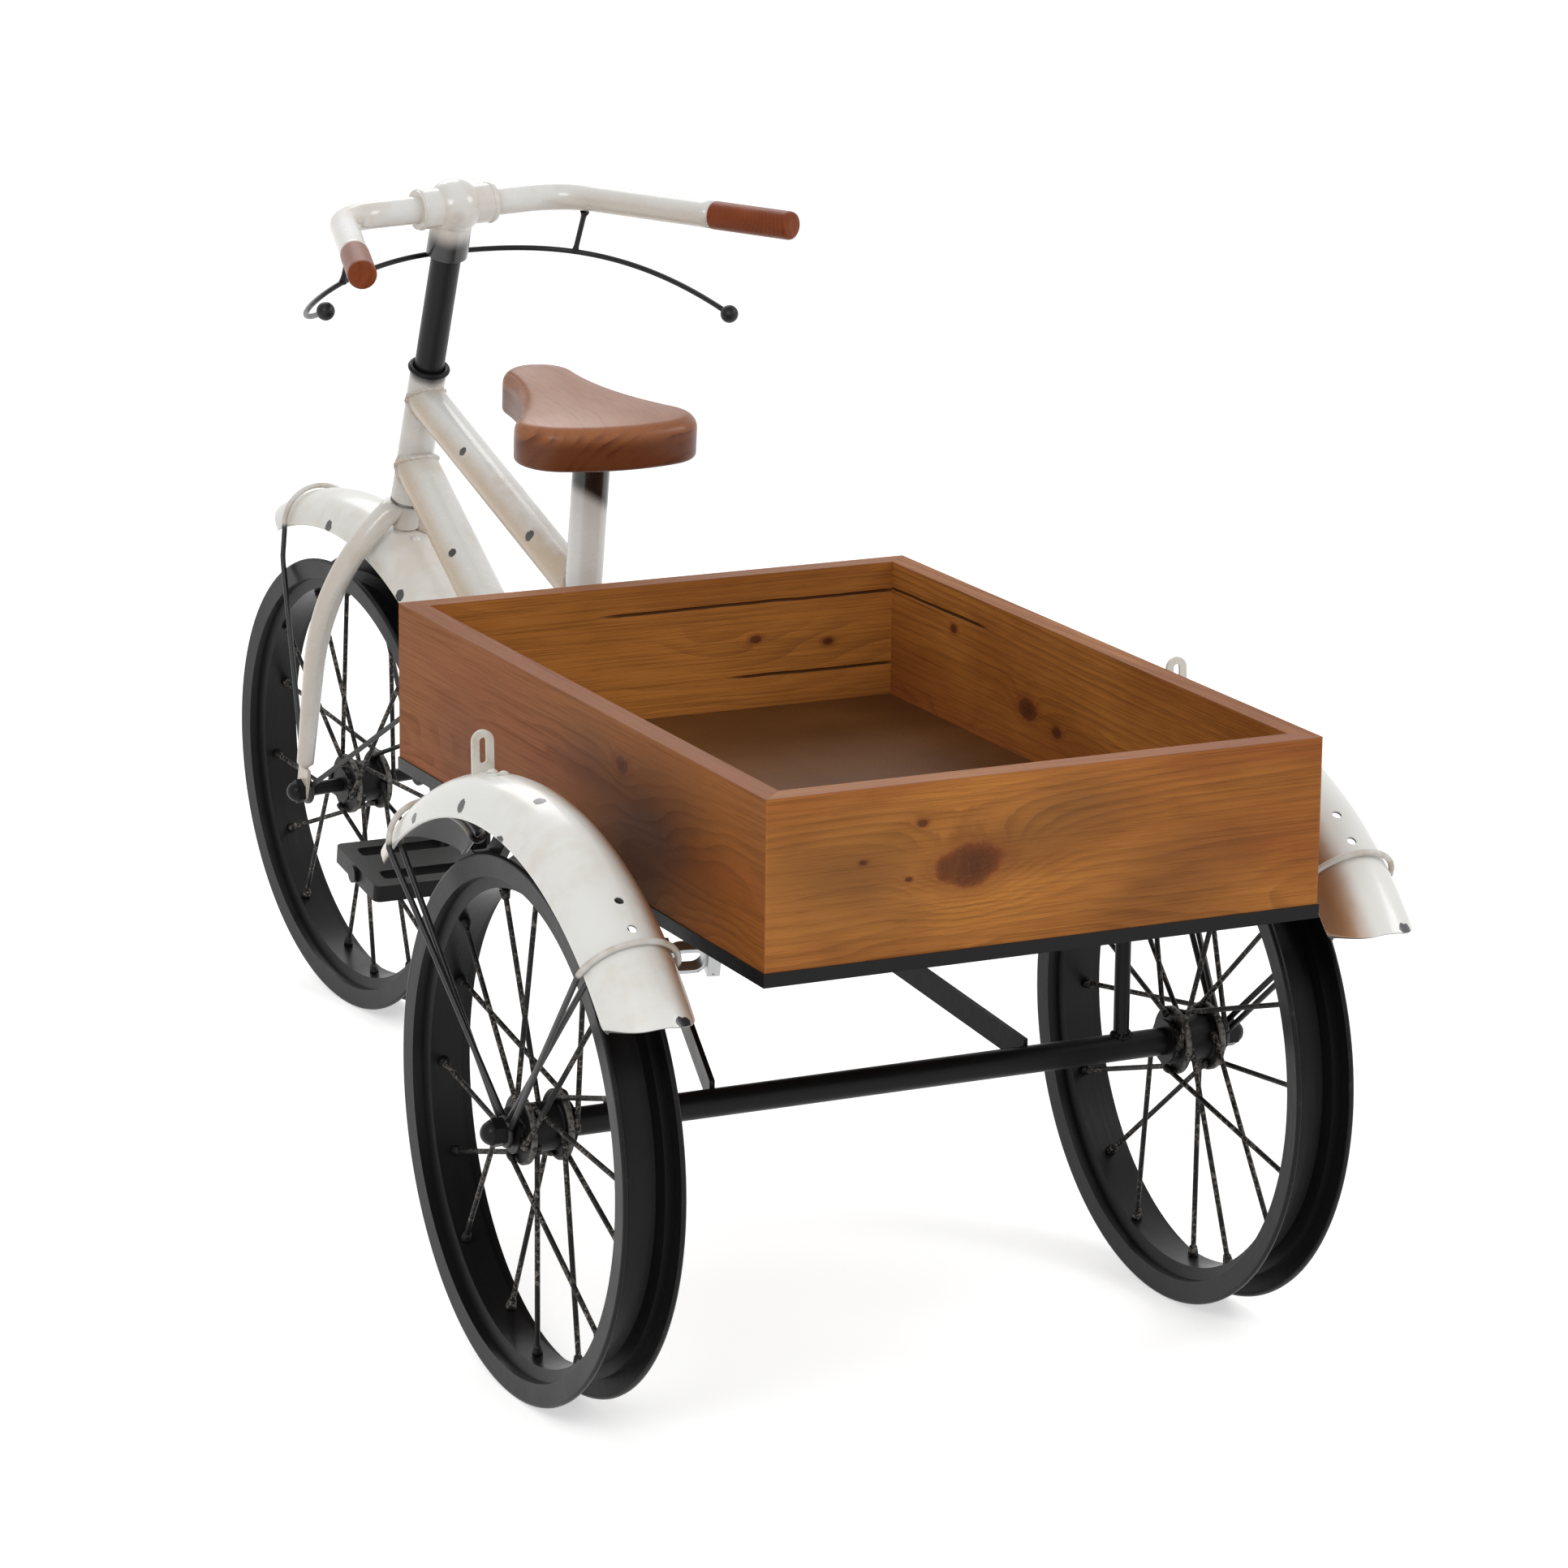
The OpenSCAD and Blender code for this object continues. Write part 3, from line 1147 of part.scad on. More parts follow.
// Everything under the fender's skin, a little larger, to seat flat parts on it
module fender_fill(r) {
    at_arc(front_fender_c, 85) rotate_extrude(angle = 40, $fn = 96) section_band(r, 0.01, fender_w);
}
module front_fender_bolts() {
    plug_d = steerer_bore_d - 2 * weld;
    color([0.2, 0.2, 0.2]) steered() {
        difference() {
            on_stem() {
                translate([0, 0, crown_s - 3]) cylinder(d = steerer_d - 6, h = crown_spacer + 3 - weld);
                translate([0, 0, steerer_foot - 1]) cylinder(d = plug_d, h = 13);
            }
            fender_fill(section_r + soft_gap);
        }
        on_stem() translate([0, 0, crown_s - 8]) cylinder(d = crown_bolt_d, h = 10 + crown_spacer);
        intersection() {
            on_stem() translate([0, 0, crown_s - 8]) cylinder(d = crown_bolt_d + 6, h = 10);
            fender_fill(section_r - fender_t - soft_gap);
        }
        at_arc(front_fender_c, front_rivet_angle) translate([fender_r, 0, 0]) rivet(fender_t);
    }
}

// Steering column, fork and handlebar

module steerer() {
    color([0.1, 0.1, 0.1]) steered() on_stem() translate([0, 0, steerer_foot])
        ring(steerer_d, steerer_bore_d, steerer_top - steerer_foot);
}
module fork_blades() {
    steps = 16;
    top_s = blade_top_s + 6;
    radii = [for (i = [0:steps]) (blade_tip_d + (blade_d - blade_tip_d) * min(1, 1.6 * i / steps)) / 2];
    color([0.87, 0.85, 0.8]) steered() difference() {
        for (side = [-1, 1])
            let (path = [
                for (i = [0:steps])
                    blade_at(side, blade_foot_s + (top_s - blade_foot_s) * i / steps)
            ])
            swept(path, radii, [0, cos(blade_lean), sin(blade_lean)], 16);
        on_stem() translate([0, 0, -60]) cylinder(d = steerer_d + 2 * weld, h = 120);
        on_stem() translate([-60, -60, -bush_lip - end_play]) cube(120);
    }
}
module fork_dropouts() {
    color([0.87, 0.85, 0.8]) at_front_wheel() for (s = [-1, 1]) translate([s * fork_spread, 0, 0]) across()
        translate([0, 0, -dropout_t / 2]) linear_extrude(dropout_t) rotate(blade_lean) difference() {
            union() {
                circle(d = dropout_w);
                translate([-dropout_w / 2, 0]) square([dropout_w, blade_foot_s - weld]);
            }
            circle(d = front_rod_d + 2 * weld);
        }
}

// Handlebar in its own plane: straight, bent back, straight; X to the right, Y forward
bar_turn = 90 - grip_splay;
bar_leg = (bar_back - bar_bend_r * (1 - cos(bar_turn))) / cos(grip_splay);
bar_straight = bar_half - bar_bend_r * sin(bar_turn) - bar_leg * sin(grip_splay);
bar_bend_end = [bar_straight + bar_bend_r * sin(bar_turn), -bar_bend_r * (1 - cos(bar_turn)), 0];
bar_dir = [sin(grip_splay), -cos(grip_splay), 0];
bar_tube_end = bar_bend_end + (bar_leg - grip_len) * bar_dir;
module on_ball() { steered() translate(ball_at) children(); }
module on_bar() { on_ball() rotate([bar_tilt, 0, 0]) children(); }
bar_sides = 24;
module handlebar() {
    bends = 12;
    half = concat(
        [for (i = [0:bends]) let (a = bar_turn * i / bends)
            [bar_straight + bar_bend_r * sin(a), -bar_bend_r * (1 - cos(a)), 0]],
        [bar_tube_end]
    );
    n = len(half);
    path = concat([for (i = [n - 1:-1:0]) [-half[i][0], half[i][1], 0]], half);
    color([0.87, 0.85, 0.8]) on_bar() swept_tube(path, bar_d / 2, bar_d / 2 - bar_wall, [0, 0, 1], bar_sides);
}
module grips() {
    g = (bar_d + 0.6) / 2;
    plug = (bar_d / 2 - bar_wall) * cos(180 / bar_sides) - weld;
    color([0.55, 0.28, 0.15]) on_bar() for (s = [0, 1]) mirror([s, 0, 0])
        translate(bar_tube_end) rotate([0, 90, grip_splay - 90]) rotate_extrude() polygon([
            [0, -spigot_len], [plug - 1, -spigot_len], [plug, -spigot_len + 1], [plug, weld], [g, weld],
            [g, grip_len - 4], [g - 0.6, grip_len - 1.8], [g - 2.4, grip_len - 0.4],
            [g - 5, grip_len], [0, grip_len]
        ]);
}
module handlebar_tee() {
    color([0.87, 0.85, 0.8]) steered() difference() {
        union() {
            translate(ball_at) sphere(d = ball_d);
            on_stem() translate([0, 0, ball_rise - sleeve_reach]) cylinder(d = sleeve_d, h = sleeve_reach);
            translate(ball_at) both_sides() {
                cylinder(d = ferrule_d, h = ferrule_reach);
                translate([0, 0, ferrule_reach - 3]) rotate_extrude() translate([ferrule_d / 2 - 1, 0])
                    circle(r = 2, $fn = 24);
            }
        }
        translate(ball_at) rotate([0, 90, 0])
            cylinder(d = bar_d + 2 * weld, h = 3 * ferrule_reach, center = true);
        on_stem() translate([0, 0, ball_rise - 2 * sleeve_reach])
            cylinder(d = steerer_d + 2 * weld, h = steerer_top + weld - ball_rise + 2 * sleeve_reach);
    }
}
// Brake rod: touches the column below the sleeve and swings round under both halves of the handlebar
// The column leans a little less in the handlebar's plane
rod_lean = head_tilt - bar_tilt;
rod_front = rod_drop * tan(rod_lean) + (steerer_d / 2 + rod_wire_d / 2 + weld) / cos(rod_lean);
function rod_curve(side, half, bulge, dip, drop, t) = bezier([
    [0, rod_front, -rod_drop], [side * 0.52 * half, rod_front, -rod_drop],
    [side * bulge, -10, -rod_drop - dip], [side * half, -knob_back, -drop]
], t);
function rod_point(i, t) =
    i == 0 ? rod_curve(-1, knob_half_left, 0.9 * knob_half_left, rod_dip_left, knob_drop_left, t)
           : rod_curve(1, knob_half_right, 0.88 * knob_half_right, 0, knob_drop_right, t);
// Just below the handlebar's bend, at a sideways distance
function under_bar(x) =
    [x, -bar_bend_r + sqrt(pow(bar_bend_r, 2) - pow(abs(x) - bar_straight, 2)), -bar_d / 2 - 1];
// Place along a half at which the rod meets its knob, found by halving
function rod_stop(i, lo, hi, k) =
    let (t = (lo + hi) / 2, inside = norm(rod_point(i, t) - rod_point(i, 1)) < knob_d / 2 + weld)
    k == 0 ? lo : inside ? rod_stop(i, lo, t, k - 1) : rod_stop(i, t, hi, k - 1);
// Strut from the bar down to just above the rod, which it leans over by a known angle
module rod_strut(i) {
    t = i == 0 ? 0.37 : 0.48;
    p = rod_point(i, t);
    q = under_bar(p[0]);
    up = unit(q - p);
    slant = abs(unit(rod_point(i, t + 0.01) - rod_point(i, t - 0.01)) * up);
    foot = (rod_wire_d / 2 + 0.1 + rod_wire_d / 2 * slant) / sqrt(1 - slant * slant);
    rod(p + foot * up, q, rod_wire_d);
}
module brake_rod() {
    n = 18;
    ends = [for (i = [0, 1]) rod_stop(i, 0.9, 1, 14)];
    path = concat(
        [for (i = [n:-1:1]) rod_point(0, ends[0] * i / n)],
        [for (i = [0:n]) rod_point(1, ends[1] * i / n)]
    );
    color([0.16, 0.16, 0.16]) on_bar() {
        swept(path, even(len(path), rod_wire_d / 2), [0, 0, 1], 8);
        for (i = [0, 1]) rod_strut(i);
    }
}
module brake_rod_knobs() {
    color([0.14, 0.14, 0.14]) on_bar() for (i = [0, 1]) translate(rod_point(i, 1)) sphere(d = knob_d);
}

// Cranks and pedals

module crank_arm(reach) {
    u = unit(reach);
    side = [-u[1], u[0]];
    r = crank_eye_d / 2;
    linear_extrude(crank_t) {
        circle(r = r);
        translate(reach) circle(r = r - 2);
        polygon([side * (r - 2), -side * (r - 2), reach - side * (r - 4), reach + side * (r - 4)]);
    }
}
module pedal_pin() {
    cylinder(d = pedal_pin_d, h = pedal_x + pedal_w + end_play + 1);
    cylinder(d = pedal_pin_d + 6, h = pedal_x - end_play);
    translate([0, 0, pedal_x + pedal_w + end_play]) cylinder(d = pedal_pin_d + 5, h = 3);
}
module crank_set() {
    reach = [left_pedal_at[1] - shell_at[1], left_pedal_at[2] - shell_at[2]];
    color([0.1, 0.1, 0.1]) place() translate(shell_at) across() {
        cylinder(d = crank_shaft_d, h = 2 * (crank_x + crank_t + 2), center = true);
        translate([0, 0, crank_x]) crank_arm(-reach);
        translate([0, 0, -crank_x - crank_t]) crank_arm(reach);
        translate(-reach) intersection() {
            pedal_pin();
            translate([0, 0, crank_x]) cylinder(d = 40, h = 2 * pedal_w);
        }
        translate(reach) mirror([0, 0, 1]) intersection() {
            pedal_pin();
            translate([0, 0, crank_x]) cylinder(d = 40, h = 2 * pedal_w);
        }
    }
}
module rounded(w, l, r) {
    square([w, l - 2 * r], center = true);
    square([w - 2 * r, l], center = true);
    for (x = [-1, 1]) for (y = [-1, 1]) translate([x * (w / 2 - r), y * (l / 2 - r)]) circle(r = r, $fn = 32);
}
// Pedal: a plate with two long slots, drilled along its middle for the pin
module pedal() {
    slot_at = pedal_l / 2 - pedal_bar - pedal_slot / 2;
    difference() {
        translate([0, 0, -pedal_h / 2]) linear_extrude(pedal_h) difference() {
            rounded(pedal_w, pedal_l, 6);
            for (s = [-1, 1]) translate([0, s * slot_at]) rounded(pedal_w - 2 * pedal_bar, pedal_slot, 4);
        }
        rotate([0, 90, 0]) cylinder(r = pedal_pin_d / 2 + run_clear, h = pedal_w + 2, center = true);
    }
}
module pedal_left() {
    color([0.11, 0.11, 0.11]) place() translate(left_pedal_at - [pedal_x + pedal_w / 2, 0, 0])
        rotate([pedal_tilt, 0, 0]) pedal();
}
module pedal_right() {
    color([0.11, 0.11, 0.11]) place() translate(right_pedal_at + [pedal_x + pedal_w / 2, 0, 0])
        rotate([pedal_tilt, 0, 0]) pedal();
}

head_tube();
frame_bushes();
head_ring();
top_tube();
down_tube();
seat_tube();
crank_shell();
saddle_plate();
saddle();
wood_screws();
tray_rail_front();
tray_rail_rear();
tray_rail_left();
tray_rail_right();
tray_bearers();
tray_posts();
stay_strap_left();
stay_strap_right();
rear_axle_tube();
rear_axle_rod();
rear_axle_washers();
rear_axle_nuts();
crate_board_front();
crate_board_rear();
crate_board_left();
crate_board_right();
crate_floor();
rear_fender_left();
rear_fender_right();
fender_tabs();
fender_rivets();
rear_fender_stays();
strap_bracket();
bracket_bolt();
steerer();
fork_blades();
fork_dropouts();
handlebar_tee();
handlebar();
grips();
brake_rod();
brake_rod_knobs();
front_fender();
front_fender_bolts();
front_fender_stays();
front_axle_rod();
front_axle_spacers();
front_axle_nuts();
rim_front();
spokes_front();
hub_front();
rim_left();
spokes_left();
hub_left();
rim_right();
spokes_right();
hub_right();
crank_set();
pedal_left();
pedal_right();
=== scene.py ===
# A three-wheeled plant stand: wooden crate on a black tray, cream tubes, antique white fenders.
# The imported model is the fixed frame; this file gives it its finishes and the pieces that want a rounder skin.
import math
import bmesh
import bpy
import numpy as np
from mathutils import Matrix, Quaternion, Vector


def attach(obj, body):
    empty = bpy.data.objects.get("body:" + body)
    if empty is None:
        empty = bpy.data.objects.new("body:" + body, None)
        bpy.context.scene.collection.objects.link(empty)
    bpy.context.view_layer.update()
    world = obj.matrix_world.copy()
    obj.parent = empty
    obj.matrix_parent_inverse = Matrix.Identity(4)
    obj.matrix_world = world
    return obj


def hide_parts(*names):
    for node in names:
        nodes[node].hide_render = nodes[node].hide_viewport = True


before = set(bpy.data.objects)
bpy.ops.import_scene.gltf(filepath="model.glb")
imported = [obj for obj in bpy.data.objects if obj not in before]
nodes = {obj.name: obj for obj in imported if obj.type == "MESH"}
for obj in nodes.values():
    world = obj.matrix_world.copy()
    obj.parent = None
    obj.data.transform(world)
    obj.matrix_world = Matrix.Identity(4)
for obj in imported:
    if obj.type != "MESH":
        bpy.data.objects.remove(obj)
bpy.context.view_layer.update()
print("frame loaded,", len(nodes), "nodes")


# places, all in millimetres on the axle's own origin until toModel()

trike = {
    "midY": 452.3402360145516,       # the model's origin stands this far ahead of the rear axle
    "pivot": (0.0, 893.0, 468.0),    # lower end of the head tube, on the steering axis
    "tilt": 21.1,
    "steer": 4.5,                    # the front wheel rests turned a little to the left
    "ballRise": 285.0,
    "hub": (-18.0, 967.0, 201.076),  # front hub before it is turned
    "axleZ": 200.0,
    "shell": (0.0, 552.0, 285.0),
    "seatTilt": 8.5,
}
pivot = np.array(trike["pivot"])
tiltRad = math.radians(trike["tilt"])
steerAxis = np.array([0.0, -math.sin(tiltRad), math.cos(tiltRad)])
ballAt = pivot + trike["ballRise"] * steerAxis
seated = 0.05                        # gap left between parts that are welded or rest on each other


def unit(v):
    v = np.asarray(v, float)
    return v / np.linalg.norm(v, axis=-1, keepdims=True)


def turnAbout(points, axis, degrees, centre):
    # v cos a + (axis x v) sin a + axis (axis . v)(1 - cos a), about a centre
    a = math.radians(degrees)
    v = np.asarray(points, float) - centre
    axis = unit(axis)
    lengthwise = np.outer(v @ axis, axis).reshape(v.shape) * (1 - math.cos(a))
    return centre + v * math.cos(a) + np.cross(axis, v) * math.sin(a) + lengthwise


def steered(points):
    rows = np.asarray(points, float).reshape(-1, 3)
    return turnAbout(rows, steerAxis, trike["steer"], pivot).reshape(np.shape(points))


def toModel(points):
    return (np.asarray(points, float) - [0, trike["midY"], 0]) / 1000


def seatPoint(z):
    shell = trike["shell"]
    return np.array([0, shell[1] - (z - shell[2]) * math.tan(math.radians(trike["seatTilt"])), z])


def headPoint(rise):
    return pivot + rise * steerAxis


# sums written with shader sockets

class Wire:
    # one output socket; +, -, *, / and the calls below add nodes to its tree
    def __init__(self, tree, out=None):
        self.tree, self.out = tree, out

    def node(self, kind, settings=None, sockets=None, want=0):
        made = self.tree.nodes.new("ShaderNode" + kind)
        for key, value in (settings or {}).items():
            setattr(made, key, value)
        for key, value in (sockets or {}).items():
            self.plug(made.inputs[key], value)
        return Wire(self.tree, made.outputs[want])

    def plug(self, socket, value):
        if isinstance(value, Wire):
            self.tree.links.new(value.out, socket)
        elif socket.type in ("VECTOR", "RGBA") and not isinstance(value, (tuple, list)):
            socket.default_value = (value,) * len(socket.default_value)
        else:
            socket.default_value = value

    def isVector(self):
        return self.out.type in ("VECTOR", "RGBA")

    def math(self, op, *others, back=False):
        terms = [self, *others][::-1] if back else [self, *others]
        vector = any(isinstance(t, (tuple, list)) or isinstance(t, Wire) and t.isVector() for t in terms)
        return self.node("VectorMath" if vector else "Math", {"operation": op}, dict(enumerate(terms)))

    def __add__(self, other): return self.math("ADD", other)
    def __radd__(self, other): return self.math("ADD", other, back=True)
    def __sub__(self, other): return self.math("SUBTRACT", other)
    def __rsub__(self, other): return self.math("SUBTRACT", other, back=True)
    def __mul__(self, other): return self.math("MULTIPLY", other)
    def __truediv__(self, other): return self.math("DIVIDE", other)

    def at(self, axis):
        return self.node("SeparateXYZ", {}, {0: self}, want="XYZ".index(axis))

    def length(self):
        return self.node("VectorMath", {"operation": "LENGTH"}, {0: self}, want=1)

    def dot(self, other):
        return self.node("VectorMath", {"operation": "DOT_PRODUCT"}, {0: self, 1: other}, want=1)

    def noise(self, scale, detail=3.0, rough=0.55, bend=0.0):
        sockets = {"Vector": self, "Scale": scale, "Detail": detail, "Roughness": rough, "Distortion": bend}
        return self.node("TexNoise", {}, sockets)

    def facing(self, *way):
        # how far the unposed surface looks along a direction
        normal = self.node("TexCoord", {}, {}, want="Normal")
        return normal.dot(way)

    def fade(self, start, end):
        # 0 at start, 1 at end, whichever is larger
        low, high = min(start, end), max(start, end)
        sockets = {0: self, 1: low, 2: high, 3: 0.0, 4: 1.0}
        up = self.node("MapRange", {"interpolation_type": "SMOOTHSTEP"}, sockets)
        return up if start < end else 1.0 - up

    def blend(self, fromTone, toTone):
        settings = {"data_type": "RGBA", "clamp_factor": True}
        return self.node("Mix", settings, {0: self, 6: fromTone, 7: toTone}, want=2)

    def turned(self, shift, angles):
        sockets = {"Vector": self, "Location": tuple(shift), "Rotation": tuple(angles)}
        return self.node("Mapping", {"vector_type": "POINT"}, sockets)


def tone(r, g, b):
    # colour as it is read off a picture, 0 to 255, to the linear value a shader wants
    return tuple(c / 255 / 12.92 if c <= 10 else ((c / 255 + 0.055) / 1.055) ** 2.4 for c in (r, g, b)) + (1.0,)


def finish(name, build, spec=0.5, coat=0.0, coatRough=0.1, metal=0.0, bumpDepth=0.0004):
    made = bpy.data.materials.new(name)
    made.use_nodes = True
    tree = made.node_tree
    shader = tree.nodes["Principled BSDF"]
    place = Wire(tree).node("TexCoord", {}, {}, want="Object")
    parts = build(place)
    place.plug(shader.inputs["Base Color"], parts["colour"])
    place.plug(shader.inputs["Roughness"], parts["rough"])
    shader.inputs["Specular IOR Level"].default_value = spec
    place.plug(shader.inputs["Coat Weight"], parts.get("coat", coat))
    shader.inputs["Coat Roughness"].default_value = coatRough
    place.plug(shader.inputs["Metallic"], parts.get("metal", metal))
    bump = place.node("Bump", {}, {"Height": parts["height"], "Distance": bumpDepth, "Strength": 1.0})
    place.plug(shader.inputs["Normal"], bump)
    return made


def unturned(place):
    # puts a point of the turned fork back where it was drawn: turn about the steering axis through the pivot
    back = Quaternion(Vector(steerAxis), math.radians(-trike["steer"])).to_matrix()
    centre = Vector(toModel(pivot))
    shift = centre - back @ centre
    return place.turned(shift, back.to_euler("XYZ"))


def alongSteering(place):
    # distance up the steering axis from the head tube's lower end
    return (place - tuple(toModel(pivot))).dot(tuple(steerAxis))


def aroundAxle(place, y, z):
    # offsets from a sideways line at y, z, and the distance from it
    dy, dz = place.at("Y") - y, place.at("Z") - z
    return dy, dz, (dy * dy + dz * dz).math("SQRT")


def layered(colour, *layers):
    # each layer is how much of it shows and its colour
    for amount, paint in layers:
        colour = amount.blend(colour, paint)
    return colour


def perGrain(grain, lengthwise, across):
    # one number for the axis that the grain runs along and another for the two across it
    return tuple(lengthwise if axis == grain else across for axis in "XYZ")


def spots(place, marks, ragged=0.35):
    # 1 inside rough-edged spots: distance to each mark over its radius, shaken by noise, the least of them counts
    shake = (place.noise(310, 4, 0.75) - 0.5) * (2 * ragged)
    least = None
    for *point, radius in marks:
        off = (place - tuple(point)).length() / radius + shake
        least = off if least is None else least.math("MINIMUM", off)
    return least.fade(1.0, 0.9)


# enamel on the tubes

enamel = {
    "cream": tone(220, 220, 217),
    "warm": tone(189, 166, 137),
    "grey": tone(168, 166, 162),
    "soot": tone(26, 25, 26),
    "rough": 0.27,
    "chipped": tone(38, 36, 38),
    "chips": [(-0.0129, 0.291, 0.536, 0.0042), (-0.0134, 0.1511, 0.492, 0.0052), (-0.0141, 0.3119, 0.4457, 0.0042),
              (0.0131, 0.22, 0.5155, 0.004), (0.0142, 0.27, 0.415, 0.0045), (0.0, 0.338, 0.512, 0.002),
              (-0.012, 0.055, 0.515, 0.0028), (0.011, 0.07, 0.47, 0.0036)],     # place and radius, metres
    "bladeChips": [(-0.0712, 0.5065, 0.352, 0.004)],
    "barChips": [(0.052, 0.345, 0.7455, 0.003), (-0.09, 0.33, 0.74, 0.0028)],
    "joints": [toModel(at) for at in (headPoint(100), headPoint(36), seatPoint(459), seatPoint(302), headPoint(2))],
}


def tubeEnamel(place, soot=None, chips=(), warmth=0.5):
    cloud = place.noise(7.5, 4, 0.6)
    streak = (place * (30.0, 9.0, 9.0)).noise(1.0, 3)
    grain = place.noise(900, 2)
    rub = (cloud * 0.7 + streak * 0.45).fade(0.50, 0.72) * warmth
    # painted shade: the sides that face down and to the left, judged by the unposed normal, take the warm tone
    paintedShade = (place.facing(-0.72, 0.25, -0.65) + (cloud - 0.5) * 1.1).fade(-0.45, 0.65) * warmth
    colour = rub.math("MAXIMUM", paintedShade).blend(enamel["cream"], enamel["warm"])
    for joint in enamel["joints"]:
        near = (place - tuple(joint)).length() + (cloud - 0.5) * 0.03
        colour = (near.fade(0.036, 0.018) * 0.3).blend(colour, enamel["grey"])
    dark = (place.noise(60, 5, 0.75)).fade(0.74, 0.82) * 0.35
    colour = dark.blend(colour, enamel["warm"])
    chip = spots(place, chips) if chips else None
    if chip is not None:
        colour = chip.blend(colour, enamel["chipped"])
    if soot is not None:
        colour = soot(place, cloud).blend(colour, enamel["soot"])
    rough = enamel["rough"] + (place.noise(45, 4) - 0.5) * 0.14
    height = place.noise(110, 2) * 0.35 + grain * 0.06
    if chip is not None:
        height = height - chip * 0.6
    return {"colour": colour, "rough": rough, "height": height}


def sootUnderSaddle(place, cloud):
    # near-black at the top of the seat tube, just under the saddle; it runs further down on the right-hand side
    drop = place.at("Z") + place.at("X") * 0.64 + (cloud - 0.5) * 0.008
    return drop.fade(0.533, 0.546)


def sootUnderSleeve(place, cloud):
    # near-black over the lowest couple of centimetres of the tee's sleeve
    along = alongSteering(place) + (cloud - 0.5) * 0.012
    return along.fade(0.269, 0.251)


def sootAtRing(place, cloud):
    # darker at the top end of the head tube, from just under the ring upward
    along = alongSteering(place) + (cloud - 0.5) * 0.008
    return along.fade(0.117, 0.125) * 0.9


def enamelled(name, coat, **kinds):
    return finish(name, lambda place: tubeEnamel(place, **kinds), coat=coat)


tubeFinish = enamelled("tubeEnamel", 0.2, chips=enamel["chips"], warmth=0.9)
seatTubeFinish = enamelled("seatTubeEnamel", 0.35, soot=sootUnderSaddle, warmth=0.04)
headFinish = enamelled("headEnamel", 0.35, soot=sootAtRing, chips=enamel["chips"][5:6], warmth=0.3)
teeFinish = enamelled("teeEnamel", 0.5, soot=sootUnderSleeve, warmth=0.4)
bladeFinish = enamelled("bladeEnamel", 0.45, chips=enamel["bladeChips"], warmth=0.55)
barFinish = enamelled("barEnamel", 0.5, chips=enamel["barChips"], warmth=0.5)
print("tube enamels made")


# fenders

fenders = {
    "radius": 309.1, "sectionR": 34.0569, "thick": 2.0, "edgeHalf": 78.5583,
    "rear": (-14.4, 149.8), "rearX": 284.1, "front": (990.4, 143.776),
    "white": tone(227, 227, 223), "sand": tone(203, 186, 162), "rust": tone(160, 116, 82), "under": tone(24, 24, 26),
    "chipped": tone(30, 30, 34),
    "leftChips": [(-0.3151, -0.4226, 0.4354, 0.0056), (-0.2901, -0.5044, 0.456, 0.0048),
                  (-0.316, -0.3369, 0.4057, 0.0048), (-0.3172, -0.4985, 0.4265, 0.0062),
                  (-0.2725, -0.7018, 0.3478, 0.0042), (-0.2665, -0.7008, 0.3464, 0.0052),
                  (-0.2610, -0.7010, 0.3452, 0.0040), (-0.262, -0.40, 0.437, 0.004), (-0.26, -0.58, 0.433, 0.004)],
    "rightChips": [(0.2965, -0.7012, 0.3478, 0.0045), (0.3010, -0.6998, 0.3460, 0.0048), (0.303, -0.42, 0.44, 0.005),
                   (0.29, -0.52, 0.4535, 0.0045), (0.268, -0.345, 0.42, 0.005)],
    "frontChips": [(-0.0382, 0.5317, 0.4276, 0.0055), (-0.0268, 0.3964, 0.3931, 0.0055),
                   (0.012, 0.60, 0.448, 0.004), (0.02, 0.44, 0.4355, 0.0045)],
}


def fenderEnamel(place, centre, x0, inboard, chips, pivoted=False):
    # the skin's own section: sideways offset, and distance from the middle of the section's arc
    drawn = unturned(place) if pivoted else place
    x = drawn.at("X") - x0
    dy, dz, rho = aroundAxle(drawn, *toModel((0, *centre)).tolist()[1:])
    up = rho - (fenders["radius"] - fenders["sectionR"]) / 1000
    skin = (x * x + up * up).math("SQRT")
    angle = dz.math("ARCTAN2", dy)          # 0 ahead, half pi at the top
    cloud = drawn.noise(11, 4, 0.6)
    side = x * inboard + (cloud - 0.5) * 0.016
    sand = (cloud + drawn.noise(60, 4) * 0.3).fade(0.62, 0.86) * 0.35
    edge = side.fade(0.008, 0.030)
    middle = angle.fade(1.05, 1.55)
    tip = angle.fade(1.06, 0.84)
    chip = spots(place, chips, 0.45)
    scratch = (drawn * (60.0, 14.0, 14.0)).noise(3.0, 5, 0.7).fade(0.755, 0.775) * 0.4
    under = skin.fade((fenders["sectionR"] - 0.75) / 1000, (fenders["sectionR"] - 1.25) / 1000)
    colour = layered(sand.blend(fenders["white"], fenders["sand"]), (edge * (middle * 0.35 + 0.55), fenders["sand"]),
                     (edge * middle, fenders["rust"]), (tip * 0.45, fenders["sand"]), (chip, fenders["chipped"]),
                     (scratch, fenders["sand"]), (under, fenders["under"]))
    rough = 0.3 + (drawn.noise(35, 4) - 0.5) * 0.14 + under * 0.15
    height = drawn.noise(70, 3) * 0.5 + drawn.noise(700, 2) * 0.06 - chip * 0.8
    return {"colour": colour, "rough": rough, "height": height}


def fenderFinish(side, centre, x0, inboard, pivoted=False):
    settings = (centre, x0, inboard, fenders[side + "Chips"], pivoted)
    return finish(side + "FenderEnamel", lambda place: fenderEnamel(place, *settings), coat=0.3)


